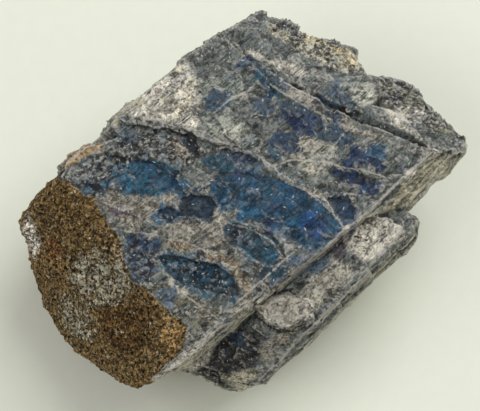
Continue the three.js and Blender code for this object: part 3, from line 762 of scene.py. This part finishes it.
class STONE_OT_colour(bpy.types.Operator):
    """Marks each point of the carved stone with its ground tint, its painted flash of blue sheen, its rust,
    its worn and highlit edges and the painted shade of its hollows
    """

    bl_idname = "stone.colour"
    bl_label = "Colour the Stone"

    def execute(self, context):
        colours = context.scene.stone_colours
        piece = bpy.data.objects[STONE]
        mesh = piece.data
        places = places_of(mesh)
        normals = normals_of(mesh)
        broad = averaged(normals, mesh, 6)
        broad /= np.linalg.norm(broad, axis=1)[:, None] + 1e-9
        near = ((places - averaged(places, mesh, 2)) * normals).sum(1)
        wide = ((places - averaged(places, mesh, 12)) * broad).sum(1)
        spots = places[:, :2] + wander(places)
        face = smooth_step(0.05, 0.3, broad[:, 2])
        ground = painted(spots, np.tile(linear(colours.slate_grey), (len(spots), 1)), GROUND, colours, 0.5)
        tint = side_tint(broad, colours)
        tint = blended(tint, face, ground)
        rust = rust_depth(places, spots)
        crust = painted(spots, np.tile(linear(colours.rust), (len(spots), 1)), RIND, colours, 1.2)
        rind = np.max([inside_distance(spots, outline) for outline in PALE_RIND], axis=0)
        rind = smooth_step(-2.8, 2.2, rind) * smooth_step(0, 0.5, broad[:, 2])
        tint = blended(tint, smooth_step(-0.2, 0.2, rust), crust)
        flash, level = flash_of(spots, colours)
        ones = np.ones(len(places))
        # the edge mask marks convex edges, which the material paints pale, partly as wear and partly as
        # painted highlight
        edge = np.clip((near - 0.01) / 0.07, 0, 1) * np.clip(wide / 0.16, 0, 1)
        # painted shade, strongest where the surface dips in most
        hollow_shade = np.clip((-near - 0.01) / 0.10 - wide / 1.2, 0, 1)
        store(mesh, "tint", np.column_stack([tint, ones]))
        store(mesh, "flash", np.column_stack([flash, level * smooth_step(0.1, 0.4, broad[:, 2])]))
        store(mesh, "marks", np.column_stack([0.5 + rust / (2 * REACH), scaliness(spots), edge, rind]))
        marks = []
        for seams in (PALE_SEAMS_AND_HIGHLIGHTS, DARK_SEAMS_AND_SHADOW_LINES):
            side, near_seam = beside_seams(places[:, :2] + 0.3 * wander(places), seams)
            marks += [0.5 + side / (2 * REACH), near_seam]
        store(mesh, "seams", np.column_stack(marks))
        store(mesh, "lie", np.column_stack([hollow_shade, smooth_step(*FACE_UP, broad[:, 2]), 0 * ones, ones]))
        mesh.materials.clear()
        mesh.materials.append(stone_material())
        return {"FINISHED"}


# Colours of the fine marks, as amounts of light

# a faint painted blue sheen laid over the grey ground
PAINTED_BLUE_SHEEN = (0.045, 0.082, 0.120, 1)
OLIVE_CAST = (1.04, 1.0, 0.74)
THREAD_LIFT = (0.10, 0.095, 0.08)
PIT = (0.018, 0.018, 0.024, 1)
POOL_CRACK = (0.006, 0.012, 0.020, 1)
POOL_PIT = (0.006, 0.009, 0.014, 1)
POOL_THREAD = (0.19, 0.26, 0.28, 1)
PAINTED_SCALE_GLINT = (0.28, 0.31, 0.34, 1)
DARK_SCALE = (0.014, 0.014, 0.020, 1)
GLINT = (0.62, 0.63, 0.62, 1)
PALE_EDGE_AND_HIGHLIGHT = (0.52, 0.49, 0.43, 1)
CRACK_AND_SHADE_DARK = (0.012, 0.012, 0.014, 1)
WARM_RUST = (0.17, 0.092, 0.026, 1)
RUST_PIT = (0.012, 0.008, 0.004, 1)
FRESH_GRAIN = (0.50, 0.47, 0.36)
# painted shade for the hollows
PAINTED_HOLLOW_SHADE = (0.010, 0.010, 0.013, 1)


# Shader nodes


def add(tree, kind, inputs=None, **settings):
    """Adds a node. An input is joined to a socket or set to a value, by its name or its place in the list."""
    made = tree.nodes.new("ShaderNode" + kind)
    for name, value in settings.items():
        setattr(made, name, value)
    for key, value in (inputs or {}).items():
        socket = made.inputs[key]
        if isinstance(value, bpy.types.NodeSocket):
            tree.links.new(value, socket)
        else:
            socket.default_value = value
    return made


def sums(tree, operation, first, second=0.0, third=0.0):
    return add(tree, "Math", {0: first, 1: second, 2: third}, operation=operation).outputs[0]


def product(tree, first, *others):
    """Masks and amounts multiplied with one another."""
    for other in others:
        first = sums(tree, "MULTIPLY", first, other)
    return first


def total(tree, first, *weighted):
    """A value and, for each pair of a value and its weight, that much of it."""
    for value, weight in weighted:
        first = sums(tree, "MULTIPLY_ADD", value, weight, first)
    return first


def band(tree, value, low, high, start=0.0, end=1.0):
    """Maps a value that passes from low to high smoothly onto start to end."""
    inputs = {"Value": value, "From Min": low, "From Max": high, "To Min": start, "To Max": end}
    return add(tree, "MapRange", inputs, interpolation_type="SMOOTHSTEP").outputs["Result"]


def spread(tree, value, start, end):
    """Maps a value that passes from 0 to 1 evenly onto start to end."""
    return sums(tree, "MULTIPLY_ADD", value, end - start, start)


def mixed(tree, share, under, over):
    """One colour laid over another."""
    return add(tree, "Mix", {0: share, 6: under, 7: over}, data_type="RGBA").outputs[2]


def between(tree, share, under, over):
    """The same for two plain amounts."""
    return add(tree, "Mix", {0: share, 2: under, 3: over}, data_type="FLOAT").outputs[0]


def vectors(tree, operation, first, second):
    return add(tree, "VectorMath", {0: first, 1: second}, operation=operation).outputs[0]


def scaled(tree, vector, amount):
    return add(tree, "VectorMath", {0: vector, "Scale": amount}, operation="SCALE").outputs[0]


def stretched(tree, place, scale, turn=0.0):
    """Places turned about Z and drawn out, so that what is drawn there comes out long and thin."""
    return add(tree, "Mapping", {"Vector": place, "Rotation": (0, 0, turn), "Scale": scale}).outputs[0]


def rotated(tree, place, turn):
    return add(tree, "VectorRotate", {"Vector": place, "Angle": turn}, rotation_type="Z_AXIS").outputs[0]


def noise_at(tree, place, scale=1.0, detail=2.0, roughness=0.5):
    inputs = {"Vector": place, "Scale": scale, "Detail": detail, "Roughness": roughness}
    return add(tree, "TexNoise", inputs).outputs["Fac"]


def new_group(name, inputs, outputs):
    """An empty node group with its named inputs and outputs."""
    group = bpy.data.node_groups.new(name, "ShaderNodeTree")
    for label, kind, default in inputs:
        socket = group.interface.new_socket(label, in_out="INPUT", socket_type=kind)
        if default is not None:
            socket.default_value = default
    for label in outputs:
        group.interface.new_socket(label, in_out="OUTPUT", socket_type="NodeSocketFloat")
    start = group.nodes.new("NodeGroupInput")
    end = group.nodes.new("NodeGroupOutput")
    return group, start.outputs, end.inputs


def grain_group():
    """Fine speckle: an even light and dark grain, and small dark pits."""
    group, given, out = new_group(
        "fine grain",
        [("Place", "NodeSocketVector", None), ("Size", "NodeSocketFloat", 0.5)],
        ["Grain", "Pits"],
    )
    place = scaled(group, given["Place"], sums(group, "DIVIDE", 1.0, given["Size"]))
    fine = noise_at(group, place, detail=3.0, roughness=0.65)
    other = add(group, "TexNoise", {"Vector": place, "Scale": 0.83, "Detail": 2.0, "Distortion": 0.4})
    group.links.new(band(group, fine, 0.3, 0.7), out["Grain"])
    group.links.new(band(group, other.outputs["Fac"], 0.58, 0.68), out["Pits"])
    return group


def flake_group():
    """Ragged flakes: each has its own shade and lean, with a thin line round it."""
    group, given, out = new_group(
        "flake field",
        [
            ("Place", "NodeSocketVector", None),
            ("Size", "NodeSocketFloat", 1.5),
            ("Raggedness", "NodeSocketFloat", 0.8),
        ],
        ["Shade", "Tone", "Line", "Height", "Middle"],
    )
    middle = (0.5, 0.5, 0.5)
    place = scaled(group, given["Place"], sums(group, "DIVIDE", 1.0, given["Size"]))
    bend = add(group, "TexNoise", {"Vector": place, "Scale": 2.6, "Detail": 2.0}).outputs["Color"]
    bend = scaled(group, vectors(group, "SUBTRACT", bend, middle), given["Raggedness"])
    ragged = vectors(group, "ADD", place, bend)
    cells = add(group, "TexVoronoi", {"Vector": ragged, "Scale": 1.0})
    rims = add(group, "TexVoronoi", {"Vector": ragged, "Scale": 1.0}, feature="DISTANCE_TO_EDGE")
    parts = add(group, "SeparateColor", {"Color": cells.outputs["Color"]}).outputs
    group.links.new(parts[0], out["Shade"])
    group.links.new(parts[1], out["Tone"])
    group.links.new(band(group, rims.outputs["Distance"], 0.02, 0.09, 1.0, 0.0), out["Line"])
    group.links.new(band(group, cells.outputs["Distance"], 0.2, 0.4, 1.0, 0.0), out["Middle"])
    offset = vectors(group, "SUBTRACT", ragged, cells.outputs["Position"])
    lean = vectors(group, "SUBTRACT", cells.outputs["Color"], middle)
    slope = add(group, "VectorMath", {0: offset, 1: lean}, operation="DOT_PRODUCT").outputs["Value"]
    group.links.new(total(group, product(group, parts[1], 0.5), (slope, 1.6)), out["Height"])
    return group


def stroke_group():
    """Fine scratches that run one way, turned by an angle that may change from flake to flake."""
    group, given, out = new_group(
        "strokes",
        [
            ("Place", "NodeSocketVector", None),
            ("Turn", "NodeSocketFloat", 0.0),
            ("Size", "NodeSocketFloat", 0.6),
        ],
        ["Strokes"],
    )
    place = scaled(group, given["Place"], sums(group, "DIVIDE", 1.0, given["Size"]))
    drawn = stretched(group, rotated(group, place, given["Turn"]), (0.07, 1, 1))
    group.links.new(band(group, noise_at(group, drawn, roughness=0.6), 0.38, 0.62), out["Strokes"])
    return group


def placed(tree, group, **inputs):
    made = add(tree, "Group")
    made.node_tree = group
    for name, value in inputs.items():
        if isinstance(value, bpy.types.NodeSocket):
            tree.links.new(value, made.inputs[name])
        else:
            made.inputs[name].default_value = value
    return made.outputs


def group_named(name, maker):
    return bpy.data.node_groups.get(name) or maker()


def object_millimetres(tree):
    place = add(tree, "TexCoord").outputs["Object"]
    return scaled(tree, place, 1 / MM)


def marked(tree, name):
    """What the vertices keep under a name: its colour as a whole, and each of its four parts."""
    kept = add(tree, "Attribute", attribute_name=name, attribute_type="GEOMETRY")
    parts = add(tree, "SeparateColor", {"Color": kept.outputs["Color"]}).outputs
    return kept.outputs["Color"], parts[0], parts[1], parts[2], kept.outputs["Alpha"]


def new_tree(name):
    """A material with an empty node tree."""
    material = bpy.data.materials.new(name)
    material.use_nodes = True
    material.node_tree.nodes.clear()
    return material, material.node_tree


# The stone's material


def gathered(tree):
    """What the colours are made from: cells, grains and scratches, and the marks kept at the vertices."""
    place = object_millimetres(tree)
    ribbed = stretched(tree, place, (RIB_STRETCH, 1, 1), -RIB_ANGLE)
    grain = group_named("fine grain", grain_group)
    field = group_named("flake field", flake_group)
    flakes = placed(tree, field, Place=ribbed, Size=2.4, Raggedness=0.16)
    turn = product(tree, flakes["Tone"], 2 * math.pi)
    drawn = stretched(tree, rotated(tree, place, turn), (0.26, 1, 1))
    strokes = placed(tree, group_named("strokes", stroke_group), Place=place, Turn=turn, Size=0.36)
    tint, _, _, _, _ = marked(tree, "tint")
    blue, _, _, _, blue_level = marked(tree, "flash")
    _, rust_level, scaly, edge, rind = marked(tree, "marks")
    _, hollow_shade, flat, _, _ = marked(tree, "lie")
    return SimpleNamespace(
        place=place, flakes=flakes, strokes=strokes["Strokes"],
        long=stretched(tree, ribbed, (0.16, 0.42, 0.42)),
        chips=placed(tree, field, Place=ribbed, Size=1.0, Raggedness=0.16),
        crumbs=placed(tree, field, Place=place, Size=0.5, Raggedness=0.1),
        slivers=placed(tree, field, Place=drawn, Size=0.4, Raggedness=0.12),
        grit=placed(tree, field, Place=place, Size=0.6, Raggedness=0.5),
        speckle=placed(tree, grain, Place=place, Size=0.7),
        dust=placed(tree, grain, Place=place, Size=0.36),
        drift=noise_at(tree, place, 0.3, 4.0, 0.65),
        tint=tint, blue=blue, blue_level=blue_level, rust_level=rust_level,
        scaly=scaly, edge=edge, rind=rind, hollow_shade=hollow_shade, flat=flat,
    )


def pale_threads(tree, found):
    """Thin threads that run a few ways over the face, and thin rims round some of the chips."""
    threads = None
    for angle, size in ((-math.degrees(RIB_ANGLE), 1.3), (-12, 1.1), (-48, 1.6), (84, 1.5)):
        thin = (0.05 / size, 1 / size, 1 / size)
        run = noise_at(tree, stretched(tree, found.place, thin, math.radians(angle)))
        ridge = sums(tree, "ABSOLUTE", sums(tree, "SUBTRACT", run, 0.5))
        thread = band(tree, ridge, 0.006, 0.026, 1.0, 0.0)
        threads = sums(tree, "MAXIMUM", threads, thread) if threads else thread
    threads = product(tree, threads, band(tree, found.flakes["Tone"], 0.3, 0.5, 0.1, 0.8))
    rims = product(tree, found.chips["Line"], band(tree, found.flakes["Shade"], 0.45, 0.55, 0.0, 0.5))
    return sums(tree, "MAXIMUM", threads, rims)


def ground_colour(tree, found, threads):
    """The tint, lighter and darker by flake, chip and scratch, with a painted hazy blue sheen or an olive
    cast in places.
    """
    chip = found.chips["Shade"]
    light = product(
        tree,
        spread(tree, found.flakes["Shade"], 0.52, 1.22),
        band(tree, chip, 0.16, 0.22, 0.45, 1.0),
        band(tree, chip, 0.74, 0.78, 1.0, 1.45),
        spread(tree, found.crumbs["Shade"], 0.42, 1.6),
        spread(tree, found.strokes, 0.75, 1.25),
        spread(tree, found.speckle["Grain"], 0.75, 1.25),
        spread(tree, found.dust["Grain"], 0.5, 1.6),
        band(tree, found.drift, 0.36, 0.64, 0.85, 1.15),
        band(tree, noise_at(tree, found.long, 1.0, 3.0, 0.6), 0.40, 0.60, 0.72, 1.25),
    )
    light = sums(tree, "MINIMUM", light, 1.8)
    haze = sums(tree, "SUBTRACT", 0.6, found.drift)
    haze = total(tree, haze, (found.flakes["Tone"], 0.3), (found.chips["Tone"], 0.3))
    haze = product(tree, band(tree, haze, 0.3, 0.62, 0.0, 0.75), found.flat)
    face = mixed(tree, haze, found.tint, PAINTED_BLUE_SHEEN)
    olive = vectors(tree, "MULTIPLY", found.tint, OLIVE_CAST)
    face = scaled(tree, mixed(tree, band(tree, found.chips["Tone"], 0.4, 0.9, 0.0, 0.45), face, olive), light)
    layers = noise_at(tree, stretched(tree, found.place, (0.12, 0.12, 0.8)), 1.0, 5.0, 0.65)
    wall = scaled(tree, scaled(tree, found.tint, light), band(tree, layers, 0.36, 0.64, 0.6, 1.4))
    thread_tone = vectors(tree, "ADD", scaled(tree, found.tint, 1.5), THREAD_LIFT)
    ground = mixed(tree, product(tree, threads, 0.8), mixed(tree, found.flat, wall, face), thread_tone)
    return mixed(tree, product(tree, found.speckle["Pits"], 0.6), ground, PIT)


def pool_colour(tree, found, threads):
    """Blue that glows brighter and fainter by flake and chip, with dark cracks and pits."""
    glow = product(
        tree,
        spread(tree, found.flakes["Shade"], 0.6, 1.5),
        spread(tree, found.chips["Shade"], 0.5, 1.4),
        spread(tree, found.crumbs["Shade"], 0.7, 1.3),
        spread(tree, found.dust["Grain"], 0.6, 1.35),
    )
    flash = mixed(tree, product(tree, found.chips["Line"], 0.4), scaled(tree, found.blue, glow), POOL_CRACK)
    flash = mixed(tree, product(tree, found.speckle["Pits"], 0.6), flash, POOL_PIT)
    return mixed(tree, product(tree, threads, 0.2), flash, POOL_THREAD)


def with_scales(tree, found, stone, pool):
    """Dark slivers and rare painted glints all over, and small dark faces and painted glinting bright faces
    where the stone is broken.
    """
    shade = product(tree, band(tree, found.slivers["Tone"], 0.80, 0.82), spread(tree, found.scaly, 0.45, 0.8))
    stone = mixed(tree, shade, stone, scaled(tree, stone, 0.15))
    # painted glints: bright scales where the face is broken
    bright = product(tree, band(tree, found.chips["Shade"], 0.80, 0.84), found.scaly, 0.4)
    stone = mixed(tree, bright, stone, PAINTED_SCALE_GLINT)
    deep = product(tree, band(tree, found.chips["Tone"], 0.62, 0.66), found.scaly, 0.75)
    stone = mixed(tree, deep, stone, DARK_SCALE)
    rare = total(tree, spread(tree, found.scaly, 0.93, 0.82), (pool, 0.03))
    glints = sums(tree, "GREATER_THAN", found.slivers["Shade"], rare)
    return mixed(tree, product(tree, glints, found.slivers["Middle"], 0.8), stone, GLINT)


def seam_lines(tree, found):
    """Pale edges, partly painted highlights, and dark cracks and painted shadow lines, thinner and thicker
    along their way.
    """
    wobble = total(tree, product(tree, found.speckle["Grain"], 0.3), (found.crumbs["Tone"], 0.3))
    _, pale_side, pale_near, dark_side, dark_near = marked(tree, "seams")
    lines = []
    for side, near, width in ((pale_side, pale_near, 0.42), (dark_side, dark_near, 0.40)):
        gap = product(tree, sums(tree, "ABSOLUTE", sums(tree, "SUBTRACT", side, 0.5)), 2 * REACH)
        line = band(tree, sums(tree, "ADD", gap, wobble), width, width + 0.12, 1.0, 0.0)
        lines.append(product(tree, line, near))
    return lines


def rust_colour(tree, found):
    """Dark, brown and tan grains, with pale grains of fresh stone in places."""
    crumb = found.crumbs["Shade"]
    body = product(
        tree,
        spread(tree, crumb, 0.1, 1.8),
        spread(tree, found.grit["Shade"], 0.35, 1.6),
        spread(tree, found.speckle["Grain"], 0.8, 1.4),
        spread(tree, found.dust["Grain"], 0.5, 1.8),
    )
    body = product(tree, sums(tree, "MINIMUM", body, 2.8), spread(tree, found.rind, 1.0, 0.6))
    warm = product(tree, band(tree, found.drift, 0.50, 0.66, 0.0, 0.45), found.grit["Tone"])
    rusty = mixed(tree, warm, scaled(tree, found.tint, body), WARM_RUST)
    rusty = mixed(tree, product(tree, found.speckle["Pits"], 0.7), rusty, RUST_PIT)
    fresh = total(
        tree,
        product(tree, found.crumbs["Tone"], 0.5),
        (found.grit["Tone"], 0.3), (found.chips["Tone"], 0.3), (found.drift, 0.5), (found.rind, 0.42),
    )
    grain = scaled(tree, FRESH_GRAIN, spread(tree, crumb, 0.3, 1.45))
    return mixed(tree, band(tree, fresh, 1.12, 1.18, 0.0, 0.9), rusty, grain)


def bump_of(tree, found, crust, crack_and_shade_line):
    """Relief finer than the mesh: leaning flakes and chips, cracks, and grains on the weathered end."""
    ground = total(
        tree,
        sums(tree, "SUBTRACT", 0.0, crack_and_shade_line),
        (found.flakes["Height"], 0.8), (found.chips["Height"], 0.5), (found.crumbs["Height"], 0.3),
        (found.strokes, 0.2),
    )
    grains = product(tree, sums(tree, "ADD", found.grit["Height"], found.crumbs["Height"]), 0.9)
    height = between(tree, crust, ground, grains)
    return add(tree, "Bump", {"Strength": 0.7, "Distance": 0.3 * MM, "Height": height}).outputs[0]


def stone_material():
    """Grey cleavage with flakes and threads, blue pools of painted sheen with ragged borders, painted shade
    in hollows, pale edges partly painted as highlights, and a grainy rusty end.
    """
    material, tree = new_tree("labradorite")
    found = gathered(tree)
    threads = pale_threads(tree, found)
    frayed = total(
        tree, found.blue_level,
        (found.flakes["Shade"], 0.30), (found.chips["Shade"], 0.32), (found.strokes, 0.14),
    )
    pool = band(tree, frayed, 0.67, 0.75)
    ground = ground_colour(tree, found, threads)
    stone = mixed(tree, product(tree, pool, 0.9), ground, pool_colour(tree, found, threads))
    stone = with_scales(tree, found, stone, pool)
    pale_line_and_highlight, crack_and_shade_line = seam_lines(tree, found)
    stone = mixed(tree, product(tree, pale_line_and_highlight, 0.62), stone, PALE_EDGE_AND_HIGHLIGHT)
    # dark lines: cracks, and painted shadow lines along step edges
    stone = mixed(tree, product(tree, crack_and_shade_line, 0.9), stone, CRACK_AND_SHADE_DARK)
    # pale convex edges: partly wear, partly painted highlight
    worn_and_highlit = band(tree, found.speckle["Grain"], 0.2, 0.7, 0.1, 0.75)
    worn_and_highlit = product(tree, found.edge, worn_and_highlit, spread(tree, pool, 1.0, 0.5))
    stone = mixed(tree, worn_and_highlit, stone, PALE_EDGE_AND_HIGHLIGHT)
    eaten = total(tree, found.rust_level, (found.grit["Shade"], 0.06), (found.drift, 0.12))
    crust = band(tree, eaten, 0.58, 0.60)
    colour = mixed(tree, crust, stone, rust_colour(tree, found))
    # painted shade laid into the colour in the hollows
    colour = mixed(tree, product(tree, found.hollow_shade, 0.45), colour, PAINTED_HOLLOW_SHADE)
    gloss = spread(tree, found.chips["Shade"], 0.30, 0.5)
    gloss = total(tree, gloss, (sums(tree, "SUBTRACT", 1.0, found.flat), 0.3))
    surface = add(tree, "BsdfPrincipled", {
        "Base Color": colour,
        "Roughness": between(tree, crust, gloss, 0.92),
        "Normal": bump_of(tree, found, crust, crack_and_shade_line),
        "Coat Weight": product(tree, sums(tree, "SUBTRACT", 1.0, crust), found.flat, 0.06),
        "Coat Roughness": 0.15,
        "IOR": 1.5,
        "Specular IOR Level": 0.14,
    })
    add(tree, "OutputMaterial", {"Surface": surface.outputs[0]})
    return material


def floor_material(colour):
    """Plain pale floor with the faintest grain."""
    material, tree = new_tree("plain floor")
    grain = group_named("fine grain", grain_group)
    dust = placed(tree, grain, Place=object_millimetres(tree), Size=4.0)
    plain = tuple(linear(colour)) + (1,)
    shade = tuple(linear(colour) * 0.985) + (1,)
    tone_of_floor = mixed(tree, dust["Grain"], plain, shade)
    surface = add(tree, "BsdfPrincipled", {"Base Color": tone_of_floor, "Roughness": 0.9})
    add(tree, "OutputMaterial", {"Surface": surface.outputs[0]})
    return material


# Stage

CAMERA_AZIMUTH = math.radians(-40)
CAMERA_ELEVATION = math.radians(73)
CAMERA_DISTANCE = 0.5
CAMERA_LENS = 150
CAMERA_AIM = Vector((1.145, 0.333, 22)) * MM
KEY_AZIMUTH = math.radians(98)
KEY_ELEVATION = math.radians(42)
FILL_AZIMUTH = math.radians(-105)
FILL_ELEVATION = math.radians(38)


def direction(azimuth, elevation):
    """Unit vector from the stone towards a camera or light; azimuth 0 is on the -Y side."""
    flat = math.cos(elevation)
    return Vector((math.sin(azimuth) * flat, -math.cos(azimuth) * flat, math.sin(elevation)))


def turned_to(towards):
    return towards.to_track_quat("Z", "Y").to_euler()


def soft_light(name, azimuth, elevation, distance, size, power):
    """A square light that looks at the stone from a direction and a distance."""
    towards = direction(azimuth, elevation)
    bpy.ops.object.light_add(
        type="AREA", location=CAMERA_AIM + towards * distance, rotation=turned_to(towards)
    )
    light = bpy.context.object
    light.name = name
    light.data.size = size
    light.data.energy = power
    return light


class STONE_OT_stage(bpy.types.Operator):
    """Sets the plain pale floor, the soft light and the camera"""

    bl_idname = "stone.stage"
    bl_label = "Set the Stage"

    def execute(self, context):
        settings = context.scene.stone_stage
        bpy.ops.object.select_all(action="DESELECT")
        bpy.ops.mesh.primitive_plane_add(size=settings.floor, location=(0, 0, 0))
        floor = context.object
        floor.name = "plain_floor"
        floor.data.materials.append(floor_material(settings.floor_colour))
        soft_light("key light", KEY_AZIMUTH, KEY_ELEVATION, 0.9, 0.8, settings.key_power)
        soft_light("fill light", FILL_AZIMUTH, FILL_ELEVATION, 1.1, 1.0, settings.fill_power)
        world = bpy.data.worlds.new("even light")
        world.use_nodes = True
        world.node_tree.nodes["Background"].inputs["Color"].default_value = (1, 1, 0.985, 1)
        world.node_tree.nodes["Background"].inputs["Strength"].default_value = settings.sky
        context.scene.world = world
        towards = direction(CAMERA_AZIMUTH, CAMERA_ELEVATION)
        bpy.ops.object.camera_add(
            location=CAMERA_AIM + towards * CAMERA_DISTANCE, rotation=turned_to(towards)
        )
        camera = context.object
        camera.name = "camera"
        camera.data.lens = CAMERA_LENS
        camera.data.clip_start = 0.01
        context.scene.camera = camera
        context.scene.view_settings.view_transform = "Standard"
        return {"FINISHED"}


class STONE_PT_panel(bpy.types.Panel):
    """The steps that make the specimen, in their order"""

    bl_idname = "STONE_PT_panel"
    bl_label = "Labradorite"
    bl_space_type = "VIEW_3D"
    bl_region_type = "UI"
    bl_category = "Labradorite"

    def draw(self, context):
        column = self.layout.column()
        for step in STEPS:
            column.operator(step.bl_idname)
        for settings in (context.scene.stone_sizes, context.scene.stone_colours, context.scene.stone_stage):
            for name in settings.bl_rna.properties.keys():
                if name not in {"rna_type", "name"}:
                    column.prop(settings, name)


SETTINGS = {"stone_colours": StoneColours, "stone_sizes": StoneSizes, "stone_stage": StageSettings}
STEPS = (STONE_OT_carve, STONE_OT_colour, STONE_OT_stage)


def register():
    for kind in (*SETTINGS.values(), *STEPS, STONE_PT_panel):
        bpy.utils.register_class(kind)
    for name, kind in SETTINGS.items():
        setattr(bpy.types.Scene, name, PointerProperty(type=kind))


def unregister():
    for name in SETTINGS:
        delattr(bpy.types.Scene, name)
    for kind in (STONE_PT_panel, *STEPS, *SETTINGS.values()):
        bpy.utils.unregister_class(kind)


def main():
    register()
    bpy.ops.stone.carve()
    bpy.ops.stone.colour()
    bpy.ops.stone.stage()


if __name__ == "__main__":
    main()
